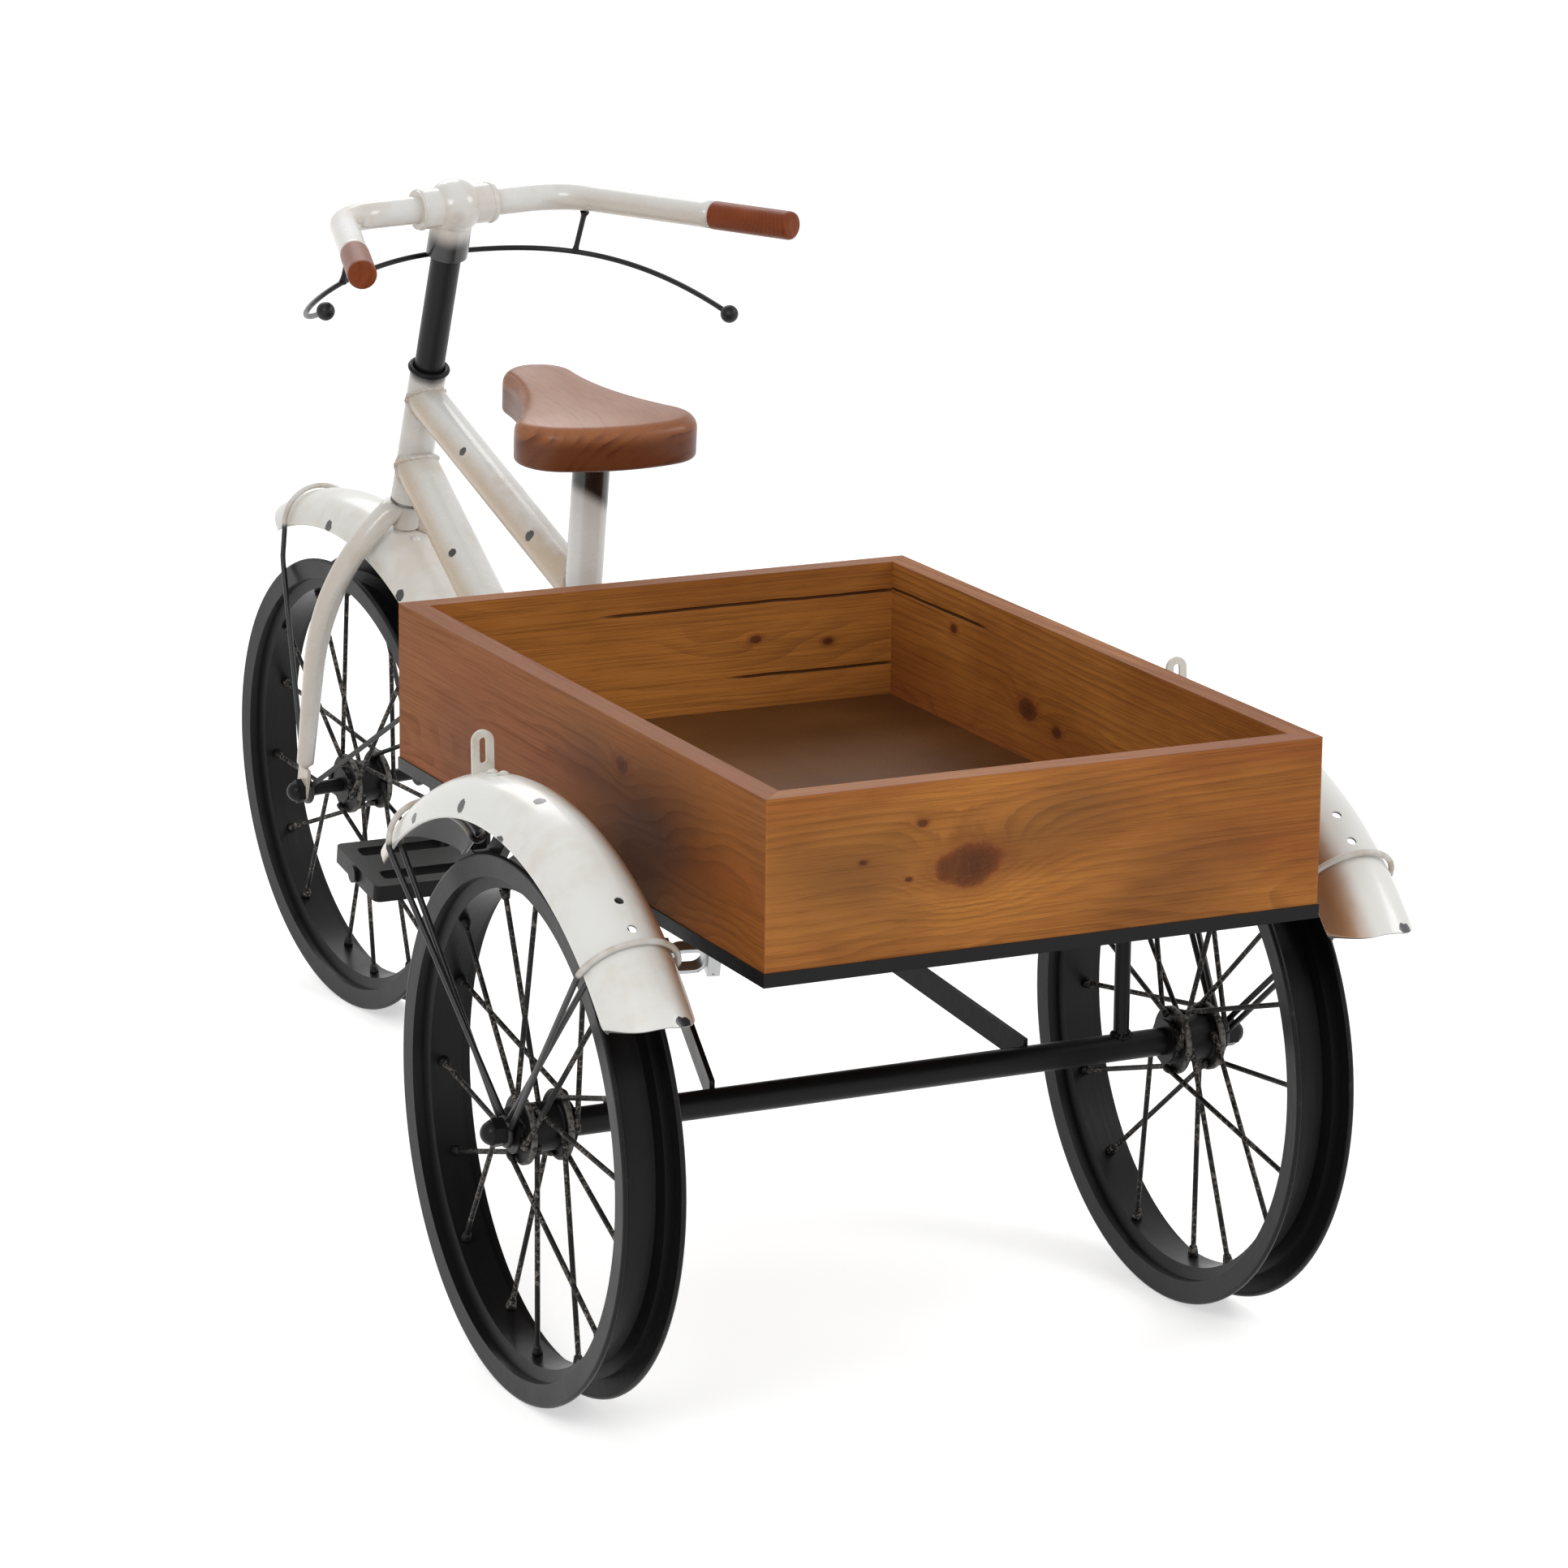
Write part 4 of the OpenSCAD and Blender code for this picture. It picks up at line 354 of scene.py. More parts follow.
leftFenderFinish = fenderFinish("left", fenders["rear"], -fenders["rearX"] / 1000, 1.0)
rightFenderFinish = fenderFinish("right", fenders["rear"], fenders["rearX"] / 1000, -1.0)
frontFenderFinish = fenderFinish("front", fenders["front"], 0.0, 0.0, True)


def tabEnamel(place):
    cloud = place.noise(60, 4)
    colour = layered(tone(214, 211, 202), (cloud.fade(0.45, 0.75), tone(186, 176, 158)),
                     (place.noise(260, 4, 0.7).fade(0.68, 0.74), tone(120, 108, 92)))
    return {"colour": colour, "rough": 0.38 + cloud * 0.1, "height": place.noise(300, 3)}


tabFinish = finish("tabEnamel", tabEnamel)


def stayPaint(place, centre, pivoted=False):
    # light enamel where the wire lies over the fender, black on the legs
    drawn = unturned(place) if pivoted else place
    rho = aroundAxle(drawn, *toModel((0, *centre)).tolist()[1:])[2] + (drawn.noise(90, 3) - 0.5) * 0.006
    light = rho.fade(0.279, 0.2845)
    worn = drawn.noise(26, 3, 0.55)
    pale = worn.fade(0.40, 0.66).blend(tone(212, 210, 206), tone(176, 160, 138))
    dark = drawn.noise(520, 3, 0.7).fade(0.64, 0.72).blend(tone(27, 26, 27), tone(84, 78, 72))
    return {"colour": light.blend(dark, pale), "rough": 0.36 + worn * 0.14, "height": drawn.noise(300, 2) * 0.05}


rearStayFinish = finish("rearStayPaint", lambda p: stayPaint(p, fenders["rear"]))
frontStayFinish = finish("frontStayPaint", lambda p: stayPaint(p, fenders["front"], True))
print("fender finishes made")


# black paint

black = {"paint": tone(21, 21, 22), "worn": tone(58, 55, 52), "metal": tone(140, 132, 122), "rough": 0.33}


def blackPaint(place, scuffs=0.3):
    cloud = place.noise(14, 4, 0.6)
    fleck = place.noise(210, 4, 0.7)
    colour = layered(black["paint"], (cloud.fade(0.45, 0.75) * 0.35, tone(26, 26, 26)),
                     (fleck.fade(0.70, 0.78) * scuffs, black["worn"]))
    rough = black["rough"] + (place.noise(38, 4) - 0.5) * 0.22 + fleck * 0.05
    return {"colour": colour, "rough": rough, "height": place.noise(120, 3) * 0.4 + fleck * 0.12}


def spokePaint(place):
    worn = place.noise(330, 3, 0.7)
    streak = place.noise(28, 3, 0.6)
    amount = worn.fade(0.5, 0.6) * streak.fade(0.40, 0.58)
    colour = (amount * 0.75).blend(black["paint"], black["metal"])
    return {"colour": colour, "rough": 0.36 + worn * 0.2, "height": worn}


def hubPaint(place, hubAt, pivoted=False):
    # flange edges show grey through the paint: distance from the axle's own line
    drawn = unturned(place) if pivoted else place
    out = aroundAxle(drawn, *hubAt[1:])[2]
    worn = drawn.noise(240, 4, 0.7)
    rimOfFlange = out.fade(0.0236, 0.0256) * worn.fade(0.36, 0.56)
    shoulder = out.fade(0.0142, 0.0150) * out.fade(0.0166, 0.0154) * worn.fade(0.45, 0.6) * 0.7
    colour = layered(black["paint"], (worn.fade(0.62, 0.72) * 0.5, black["worn"]),
                     ((rimOfFlange + shoulder) * 0.75, tone(134, 130, 124)))
    return {"colour": colour, "rough": 0.38 + worn * 0.16, "height": worn * 0.5 + drawn.noise(70, 3)}


def rimPaint(place, hubAt, pivoted=False):
    # turning marks round the rim and a worn lip
    drawn = unturned(place) if pivoted else place
    dy, dz, out = aroundAxle(drawn, *hubAt[1:])
    wrapped = {0: drawn.at("X") * 260.0, 1: out * 260.0, 2: dz.math("ARCTAN2", dy) * 1.3}
    turning = drawn.node("CombineXYZ", {}, wrapped).noise(1.0, 4, 0.6)
    worn = drawn.noise(75, 5, 0.7)
    colour = layered(black["paint"], (turning.fade(0.5, 0.7) * 0.3, tone(29, 29, 30)),
                     (out.fade(0.1965, 0.1995) * worn.fade(0.56, 0.7) * 0.5, black["worn"]),
                     (worn.fade(0.72, 0.76) * 0.4, black["worn"]))
    rough = 0.3 + (drawn.noise(22, 4) - 0.5) * 0.2 + turning * 0.06
    return {"colour": colour, "rough": rough, "height": turning * 0.35 + drawn.noise(100, 2) * 0.3}


def columnPaint(place):
    # black above the head tube, cream at the crown below it
    paint = blackPaint(place, 0.12)
    cream = tubeEnamel(place, warmth=0.5)
    colour = alongSteering(place).fade(0.02, 0.018).blend(paint["colour"], cream["colour"])
    return {"colour": colour, "rough": paint["rough"], "height": paint["height"]}


def wheelFinish(name, paint, spec):
    # one finish for each wheel, because its marks lie round its own hub
    return {side: finish(name + side.title(), lambda place: paint(place, at, side == "front"), spec=spec)
            for side, at in wheelHubs.items()}


wheelHubs = {"left": (-0.2677, -0.45234, 0.2), "right": (0.2677, -0.45234, 0.2),
             "front": tuple(toModel(trike["hub"]).tolist())}
blackFinish = finish("satinBlack", blackPaint, spec=0.16, bumpDepth=0.0005)
columnFinish = finish("columnBlack", columnPaint, spec=0.22, bumpDepth=0.0003)
knobFinish = finish("knobBlack", lambda p: blackPaint(p, 0.12), spec=0.3, bumpDepth=0.0003)
spokeFinish = finish("wornSpokeBlack", spokePaint, spec=0.2, bumpDepth=0.0004)
hubFinish = wheelFinish("hubBlack", hubPaint, 0.2)
rimFinish = wheelFinish("rimBlack", rimPaint, 0.17)


def fittingMetal(place):
    dab = place.noise(95, 4, 0.7)
    smut = dab.fade(0.60, 0.66)
    brush = (place * (60.0, 900.0, 60.0)).noise(1.0, 3)
    colour = smut.blend(tone(196, 197, 198), tone(40, 38, 37))
    rough = 0.26 + brush * 0.18 + smut * 0.3
    return {"colour": colour, "rough": rough, "height": brush * 0.3 + dab * 0.4, "metal": 1.0 - smut * 0.7}


def steelMetal(place):
    spot = place.noise(300, 4, 0.7)
    colour = spot.fade(0.52, 0.66).blend(tone(120, 119, 116), tone(74, 62, 52))
    return {"colour": colour, "rough": 0.36 + spot * 0.25, "height": spot, "metal": 0.8}


fittingFinish = finish("bareFitting", fittingMetal)
steelFinish = finish("plainSteel", steelMetal)
print("blacks and metals made")


# wood

wood = {
    "light": tone(184, 120, 56), "mid": tone(146, 88, 38), "dark": tone(90, 50, 26),
    "red": tone(144, 78, 40), "knot": tone(74, 36, 22), "crack": tone(36, 20, 14),
    "smear": tone(66, 44, 34),
    "crate": {"halfW": 0.2163, "top": 0.4995, "rear": -0.7136, "front": -0.0654},
}


def woodFigure(place, grain, pith, tilt, spread=0.0052, knots=(), stretch=16.0, seed=0.0):
    # yearly rings: distance from a slanting pith line over the ring spacing, bent by slow noise and pushed by knots
    others = [a for a in "XYZ" if a != grain]
    u = place.at(grain)
    v, w = place.at(others[0]), place.at(others[1])
    slow = (place * perGrain(grain, 3.2, 9.0) + seed).noise(1.0, 3, 0.5)
    bend = (slow - 0.5) * 0.07
    a = v - pith[0] - u * tilt[0] + bend
    b = w - pith[1] - u * tilt[1] + bend * 0.6
    rings = (a * a + b * b).math("SQRT")
    heart, nearest = None, None
    for *point, size, push in knots:
        off = (place - tuple(point)) * perGrain(grain, 0.62, 1.0)
        far = off.length() / size + (place.noise(55, 4, 0.65) - 0.5) * 0.6
        pull = (far * far * -0.42).math("EXPONENT")
        rings = rings + pull * push
        core = far.fade(1.02, 0.66)
        heart = core if heart is None else heart.math("MAXIMUM", core)
        nearest = far if nearest is None else nearest.math("MINIMUM", far)
    phase = rings / spread + (place * perGrain(grain, 1.0, stretch)).noise(2.2, 4) * 0.9
    saw = phase.math("FRACT")
    drawnOut = (place * perGrain(grain, 2.0, 30.0) + seed).noise(1.0, 2).fade(0.36, 0.62)
    late = saw.fade(0.25, 0.93) * saw.fade(1.0, 0.93) * drawnOut
    fibre = (place * perGrain(grain, 9.0, 620.0) + seed).noise(1.0, 4, 0.65)
    pores = (place * perGrain(grain, 42.0, 1500.0) + seed).noise(1.0, 2, 0.6)
    patch = (place * perGrain(grain, 2.6, 6.5) + seed * 1.7).noise(1.0, 4, 0.6)
    return {"late": late, "fibre": fibre, "pores": pores, "patch": patch, "heart": heart, "far": nearest}


def crateWood(place, grain, pith, tilt, knots=(), seed=0.0, light="light", smears=(), cracks=()):
    f = woodFigure(place, grain, pith, tilt, knots=knots, seed=seed)
    redder = (place * perGrain(grain, 2.0, 10.0) + (seed + 4.0)).noise(1.0, 3).fade(0.46, 0.66)
    colour = layered(wood["mid"], (f["patch"].fade(0.36, 0.64), wood[light]), (redder * 0.6, wood["red"]),
                     (f["late"] * 0.3, wood["dark"]), (f["fibre"].fade(0.42, 0.70) * 0.42, wood["dark"]),
                     (f["pores"].fade(0.60, 0.70) * 0.35, wood["dark"]))
    for *point, size, amount in smears:
        off = (place - tuple(point)) * perGrain(grain, 0.6, 1.0)
        near = off.length() / size + (f["patch"] - 0.5) * 1.3 + (f["fibre"] - 0.5) * 0.8
        colour = (near.fade(1.0, 0.1) * amount).blend(colour, wood["smear"])
    height = f["late"] * -0.25 + f["fibre"] * 0.35 + f["pores"] * 0.2
    if f["heart"] is not None:
        burl = place.noise(48, 5, 0.7, 1.8)
        curl = (f["far"] * 9.0 + burl * 7.0).math("SINE") * 0.5 + 0.5
        tint = layered(wood["knot"], ((f["far"] + (burl - 0.5) * 0.8).fade(0.35, 1.0), tone(122, 64, 34)),
                       (curl * 0.45, wood["dark"]))
        split = (place.noise(30, 4, 0.7, 0.6) - 0.5).math("ABSOLUTE").fade(0.016, 0.004) * f["heart"]
        ringed = f["far"].fade(1.5, 0.95) * f["far"].fade(0.8, 1.0)
        colour = layered(colour, (f["heart"] * (burl.fade(0.30, 0.55) * 0.12 + 0.78), tint),
                         (split * 0.22, wood["crack"]), (ringed * 0.3, tone(104, 54, 26)))
        height = height - f["heart"] * 0.25 + f["heart"] * burl * 0.4
    for axis, level, wave, lo, hi, along in cracks:
        # a thin dark line along the grain between two places, at a wavering height
        wander = ((place * perGrain(along, 3.0, 0.0)).noise(2.0, 3) - 0.5) * wave
        gap = (place.at(axis) - level + wander).math("ABSOLUTE")
        span = place.at(along).fade(lo - 0.01, lo + 0.012) * place.at(along).fade(hi + 0.012, hi - 0.01)
        line = gap.fade(0.0016, 0.0006) * span
        colour = (line * 0.85).blend(colour, wood["crack"])
        height = height - line * 1.5
    # edges rubbed pale: near two of the box's faces at once
    c = wood["crate"]
    dz = c["top"] - place.at("Z")
    dx = c["halfW"] - place.at("X").math("ABSOLUTE")
    dy = (place.at("Y") - c["rear"]).math("MINIMUM", c["front"] - place.at("Y"))
    nearEdge = dz.math("MAXIMUM", dx).math("MINIMUM", dz.math("MAXIMUM", dy)).math("MINIMUM", dx.math("MAXIMUM", dy))
    rubbed = (nearEdge + (f["fibre"] - 0.5) * 0.002).fade(0.0019, 0.0004)
    topHaze = dz.fade(0.0012, 0.0004)
    dents = place.noise(34, 5, 0.8).fade(0.755, 0.79)
    colour = layered(colour, (rubbed * 0.16, tone(180, 122, 78)), (topHaze * 0.4, tone(136, 92, 74)),
                     (dents * 0.5, wood["crack"]))
    rough = 0.46 + (f["fibre"] - 0.5) * 0.2 + f["late"] * 0.06
    return {"colour": colour, "rough": rough, "height": height - dents * 0.6}


# knots are place, size and push on the rings; smears place, size and amount; cracks the axis they stand on, level,
# wave, from, to and the axis they run along
boards = {
    "rear": {"spec": 0.12, "grain": "X", "pith": (-0.62, 0.36), "tilt": (0.0, 0.045), "seed": 2.3,
             "knots": [(-0.0613, -0.7136, 0.4375, 0.0195, 0.030), (-0.098, -0.7136, 0.4705, 0.0032, 0.003),
                       (-0.143, -0.7136, 0.4475, 0.0026, 0.002), (-0.108, -0.7136, 0.432, 0.0024, 0.002)],
             "smears": [(0.02, -0.7136, 0.47, 0.045, 0.4), (-0.15, -0.7136, 0.436, 0.075, 0.5),
                        (-0.03, -0.7136, 0.452, 0.045, 0.35), (0.10, -0.7136, 0.412, 0.06, 0.3)]},
    "left": {"spec": 0.07, "grain": "Y", "pith": (-0.13, 0.40), "tilt": (0.02, -0.03), "seed": 7.9, "light": "mid",
             "knots": [(-0.2163, -0.48, 0.468, 0.009, 0.008)],
             "smears": [(-0.2163, -0.52, 0.425, 0.085, 0.85), (-0.2163, -0.43, 0.455, 0.05, 0.4),
                        (-0.2163, -0.20, 0.41, 0.06, 0.3)]},
    "front": {"spec": 0.1, "grain": "X", "pith": (-0.2, 0.47), "tilt": (0.0, 0.02), "seed": 12.1,
              "knots": [(0.079, -0.0834, 0.447, 0.004, 0.004), (0.142, -0.0834, 0.44, 0.004, 0.004)],
              "cracks": [("Z", 0.4765, 0.008, -0.05, 0.2, "X"), ("Z", 0.4175, 0.006, 0.06, 0.2, "X")]},
    "right": {"spec": 0.06, "grain": "Y", "pith": (0.26, 0.41), "tilt": (0.01, 0.03), "seed": 21.4,
              "knots": [(0.1983, -0.3125, 0.4305, 0.011, 0.010), (0.1983, -0.19, 0.4675, 0.0045, 0.003),
                        (0.1983, -0.36, 0.423, 0.006, 0.004)],
              "cracks": [("Z", 0.4785, 0.006, -0.24, -0.08, "Y")]},
}


def boardFinish(side):
    board = dict(boards[side])
    spec = board.pop("spec")
    return finish(side + "BoardWood", lambda place: crateWood(place, **board), spec=spec, bumpDepth=0.0006)


boardFinishes = {"crate_board_" + side: boardFinish(side) for side in boards}


def floorPanel(place):
    cloud = place.noise(5, 4, 0.55)
    fine = place.noise(420, 4, 0.7)
    colour = layered(tone(84, 52, 26), (cloud.fade(0.36, 0.66), tone(102, 66, 34)),
                     (fine.fade(0.5, 0.72) * 0.3, tone(70, 44, 26)))
    return {"colour": colour, "rough": 0.42 + (cloud - 0.5) * 0.2, "height": fine}


floorFinish = finish("floorPanel", floorPanel, spec=0.12, bumpDepth=0.0003)


def saddleWood(place):
    f = woodFigure(place, "Y", (0.055, 0.50), (0.0, 0.03), spread=0.0085, seed=31.0, stretch=10.0)
    level = place.at("Z") - (place.at("Y") - 0.055) * 0.07     # height, with the saddle's own slope taken off
    top = level.fade(0.606, 0.6125)
    flank = level.fade(0.6095, 0.5975)      # varnish lies darker there
    pit = place.noise(60, 5, 0.8).fade(0.70, 0.76)
    colour = layered(tone(130, 76, 44), (f["patch"].fade(0.38, 0.62), tone(152, 94, 56)),
                     (f["late"] * (0.75 - top * 0.6), tone(80, 38, 20)),
                     (f["fibre"].fade(0.45, 0.7) * 0.3, tone(106, 54, 28)),
                     (flank * 0.72, tone(84, 38, 17)), (pit * 0.5, tone(76, 40, 24)))
    rough = 0.34 + (f["fibre"] - 0.5) * 0.14
    height = f["late"] * -0.3 + f["fibre"] * 0.25 - pit * 0.4
    return {"colour": colour, "rough": rough, "height": height, "coat": 0.08 + top * 0.17}


def gripWood(place):
    # both grips fold onto one: mirror on the middle plane, then turn their axis onto Y
    drawn = unturned(place) - tuple(toModel(ballAt))
    folded = drawn.node("CombineXYZ", {}, {0: drawn.at("X").math("ABSOLUTE"), 1: drawn.at("Y"), 2: drawn.at("Z")})
    along = folded.turned((0.0, 0.0, 0.0), (0.0, 0.0, math.radians(22)))
    f = woodFigure(along, "Y", (0.14, 0.005), (0.05, 0.0), spread=0.0042, seed=3.0, stretch=12.0)
    colour = layered(tone(120, 56, 24), (f["patch"].fade(0.4, 0.6), tone(140, 70, 33)),
                     (f["late"] * 0.5, tone(98, 42, 22)), (f["fibre"].fade(0.45, 0.7) * 0.35, tone(104, 48, 26)))
    rough = 0.34 + (f["fibre"] - 0.5) * 0.14
    return {"colour": colour, "rough": rough, "height": f["fibre"] * 0.4 - f["late"] * 0.2}


saddleFinish = finish("saddleWood", saddleWood, spec=0.2, coatRough=0.24)
gripFinish = finish("gripWood", gripWood, spec=0.14, coatRough=0.2)
print("woods made")


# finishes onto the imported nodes

nodeFinish = {
    **boardFinishes, "crate_floor": floorFinish, "grips": gripFinish, "saddle": saddleFinish,
    "head_tube": headFinish, "top_tube": tubeFinish, "down_tube": tubeFinish, "seat_tube": seatTubeFinish,
    "handlebar_tee": teeFinish, "handlebar": barFinish, "fork_blades": bladeFinish, "fork_dropouts": bladeFinish,
    "rear_fender_left": leftFenderFinish, "rear_fender_right": rightFenderFinish, "front_fender": frontFenderFinish,
    "fender_tabs": tabFinish, "fender_rivets": tabFinish,
    "rear_fender_stays": rearStayFinish, "front_fender_stays": frontStayFinish,
    "strap_bracket": fittingFinish, "bracket_bolt": steelFinish,
    "wood_screws": steelFinish, "frame_bushes": steelFinish,
    "steerer": columnFinish, "brake_rod_knobs": knobFinish, "front_fender_bolts": bladeFinish,
    "spokes_front": spokeFinish, "spokes_left": spokeFinish, "spokes_right": spokeFinish,
    "hub_front": hubFinish["front"], "hub_left": hubFinish["left"], "hub_right": hubFinish["right"],
    "rim_front": rimFinish["front"], "rim_left": rimFinish["left"], "rim_right": rimFinish["right"],
}
for name, piece in nodes.items():
    piece.data.materials.clear()
    piece.data.materials.append(nodeFinish.get(name, blackFinish))
print("finishes on the packed nodes")


# surfaces

def makePiece(name, parts, placed, finishMade, body, slot, *stands):
    # parts are closed shapes of points and faces, put in their place by a function; outward normals are worked out
    # once the doubles are gone
    rows, faces, n = [], [], 0
    for points, partFaces in parts:
        rows.append(np.asarray(points, float).reshape(-1, 3))
        faces += [[n + k for k in face] for face in partFaces]
        n += len(rows[-1])
    mesh = bpy.data.meshes.new(name)
    mesh.from_pydata([tuple(p) for p in placed(np.vstack(rows))], [], faces)
    work = bmesh.new()
    work.from_mesh(mesh)
    bmesh.ops.remove_doubles(work, verts=work.verts, dist=1e-6)
    bmesh.ops.dissolve_degenerate(work, edges=work.edges, dist=1e-7)
    bmesh.ops.recalc_face_normals(work, faces=work.faces)
    work.to_mesh(mesh)
    work.free()
    mesh.polygons.foreach_set("use_smooth", [True] * len(mesh.polygons))
    piece = bpy.data.objects.new(name, mesh)
    bpy.context.scene.collection.objects.link(piece)
    mesh.materials.append(finishMade)
    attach(piece, body)
    if stands:
        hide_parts(*stands)


def gridFaces(nu, nv, closed):
    # quads of a grid whose point (i, j) is number i * nv + j; j always runs round, i only where closed
    i, j = np.meshgrid(np.arange(nu if closed else nu - 1), np.arange(nv), indexing="ij")
    n, m = (i + 1) % nu, (j + 1) % nv
    return np.stack([i * nv + j, n * nv + j, n * nv + m, i * nv + m], -1).reshape(-1, 4)


def tube(path, radii, side, sides=20):
    # a circle carried along a path: path + r (a cos t + b sin t), a and b square to the path; both ends closed by a fan
    path = np.asarray(path, float)
    radii = np.broadcast_to(radii, len(path))
    step = unit(np.diff(path, axis=0))
    along = unit(np.vstack([step[:1], step[1:] + step[:-1], step[-1:]]))
    a = unit(np.cross(np.broadcast_to(side, along.shape), along))
    b = np.cross(along, a)
    t = np.linspace(0, 2 * np.pi, sides, endpoint=False)
    ring = a[:, None] * np.cos(t)[None, :, None] + b[:, None] * np.sin(t)[None, :, None]
    points = path[:, None] + radii[:, None, None] * ring
    faces = gridFaces(len(path), sides, False).tolist()
    points = points.reshape(-1, 3)
    n = len(points)
    last = n - sides
    faces += [[(k + 1) % sides, k, n] for k in range(sides)]
    faces += [[last + k, last + (k + 1) % sides, n + 1] for k in range(sides)]
    return np.vstack([points, path[0], path[-1]]), faces


def onFork(points):
    return toModel(steered(points))


def flatRing(centre, axis, outer, inner, thick, edge=0.5, sides=48):
    # washer with a small chamfer: an eight-sided section turned about the axis
    axis = unit(axis)
    a = unit(np.cross(axis, [0.3, 0.5, 0.8]))
    b = np.cross(axis, a)
    section = np.array([(inner, edge), (inner + edge, 0), (outer - edge, 0), (outer, edge),
                        (outer, thick - edge), (outer - edge, thick), (inner + edge, thick), (inner, thick - edge)])
    t = np.linspace(0, 2 * np.pi, sides, endpoint=False)
    round_ = a[None] * np.cos(t)[:, None] + b[None] * np.sin(t)[:, None]
    points = np.asarray(centre) + round_[:, None] * section[None, :, :1] + axis * section[None, :, 1:]
    return points.reshape(-1, 3), gridFaces(sides, 8, True).tolist()


def eased(path, turns=2):
    # corners cut at a quarter and three quarters of each stretch, the ends kept
    path = np.asarray(path, float)
    for _ in range(turns):
        cut = np.stack([path[:-1] * 0.75 + path[1:] * 0.25, path[:-1] * 0.25 + path[1:] * 0.75], 1).reshape(-1, 3)
        path = np.vstack([path[:1], cut[1:-1], path[-1:]])
    return path


# handlebar

bar = {"tube": 23.0, "half": 195.0, "back": 225.0, "splay": 22.0, "tilt": 1.1, "bend": 50.0, "grip": 81.0}
barTurn = math.radians(90 - bar["splay"])
barLeg = (bar["back"] - bar["bend"] * (1 - math.cos(barTurn))) / math.cos(math.radians(bar["splay"]))
barStraight = bar["half"] - bar["bend"] * math.sin(barTurn) - barLeg * math.sin(math.radians(bar["splay"]))


def onBar(points):
    return onFork(turnAbout(points, [1, 0, 0], bar["tilt"], np.zeros(3)) + ballAt)


def barPath():
    # straight middle, an arc of the bend radius, then the splayed leg; mirrored to the left
    t = np.linspace(0, barTurn, 28)
    arc = np.c_[barStraight + bar["bend"] * np.sin(t), -bar["bend"] * (1 - np.cos(t)), 0 * t]
    leg = np.array([math.sin(math.radians(bar["splay"])), -math.cos(math.radians(bar["splay"])), 0])
    run = np.linspace(0, barLeg - bar["grip"], 14)[1:, None] * leg + arc[-1]
    half = np.vstack([arc, run])
    middle = np.c_[np.linspace(-barStraight, barStraight, 30)[1:-1], np.zeros(28), np.zeros(28)]
    return np.vstack([half[::-1] * [-1, 1, 1], middle, half])


handlebar = tube(barPath(), bar["tube"] / 2, [0, 0, 1], 36)
makePiece("bar_tube", [handlebar], onBar, barFinish, "fork", "cream_enamel", "handlebar")

rod = {"wire": 4.6, "drop": 45.0, "leftHalf": 192.0, "rightHalf": 177.0, "back": 150.0,
       "leftDrop": 42.0, "rightDrop": 84.0, "dip": 44.0, "struts": (0.37, 0.48), "ends": 0.985, "column": 25.4}
rodLean = math.radians(trike["tilt"] - bar["tilt"])
rodFront = rod["drop"] * math.tan(rodLean) + ((rod["column"] + rod["wire"]) / 2 + seated) / math.cos(rodLean)


def rodPoint(side, t):
    # cubic curve from the column out under the bar to the knob
    t = np.atleast_1d(t)[:, None]
    if side < 0:
        half, bulge, dip, drop = rod["leftHalf"], 0.9 * rod["leftHalf"], rod["dip"], rod["leftDrop"]
    else:
        half, bulge, dip, drop = rod["rightHalf"], 0.88 * rod["rightHalf"], 0.0, rod["rightDrop"]
    p = np.array([[0, rodFront, -rod["drop"]], [side * 0.52 * half, rodFront, -rod["drop"]],
                  [side * bulge, -10, -rod["drop"] - dip], [side * half, -rod["back"], -drop]])
    return p[0] * (1 - t) ** 3 + p[1] * 3 * t * (1 - t) ** 2 + p[2] * 3 * t * t * (1 - t) + p[3] * t ** 3


reach = np.linspace(0, rod["ends"], 60)
rodPath = np.vstack([rodPoint(-1, reach[::-1])[:-1], rodPoint(1, reach)])
parts = [tube(rodPath, rod["wire"] / 2, [0, 0, 1], 16)]
for side, t in zip((-1, 1), rod["struts"]):
    foot = rodPoint(side, t)[0]
    inBend = -bar["bend"] + math.sqrt(bar["bend"] ** 2 - (abs(foot[0]) - barStraight) ** 2)
    head = np.array([foot[0], inBend, -bar["tube"] / 2 - 1])
    run = np.linspace(0, 1, 14)
    flare = rod["wire"] / 2 * (1 + 0.55 * np.exp(-(run / 0.07) ** 2) + 0.7 * np.exp(-((1 - run) / 0.06) ** 2))
    parts.append(tube(foot + (head - foot) * run[:, None], flare, [0, 1, 0.2], 16))
makePiece("brake_wire", parts, onBar, knobFinish, "fork", "black_paint", "brake_rod")
print("handlebar and brake rod made")


# fork blades

fork = {"spread": 58.0, "set": 18.0, "bend": 252.0, "straight": 123.0, "blade": 20.5, "tip": 15.0, "foot": 24.0,
        "column": 25.4, "crown": (896.0, 461.0), "tabThick": 3.0}
bladeTopX = fork["column"] / 2 - 3
bladeTopS = fork["straight"] + math.sqrt(fork["bend"] ** 2 - (fork["bend"] - fork["spread"] + bladeTopX) ** 2)
bladeLean = math.atan2(trike["hub"][1] - fork["crown"][0], fork["crown"][1] - trike["hub"][2])
bladeDir = np.array([0, -math.sin(bladeLean), math.cos(bladeLean)])


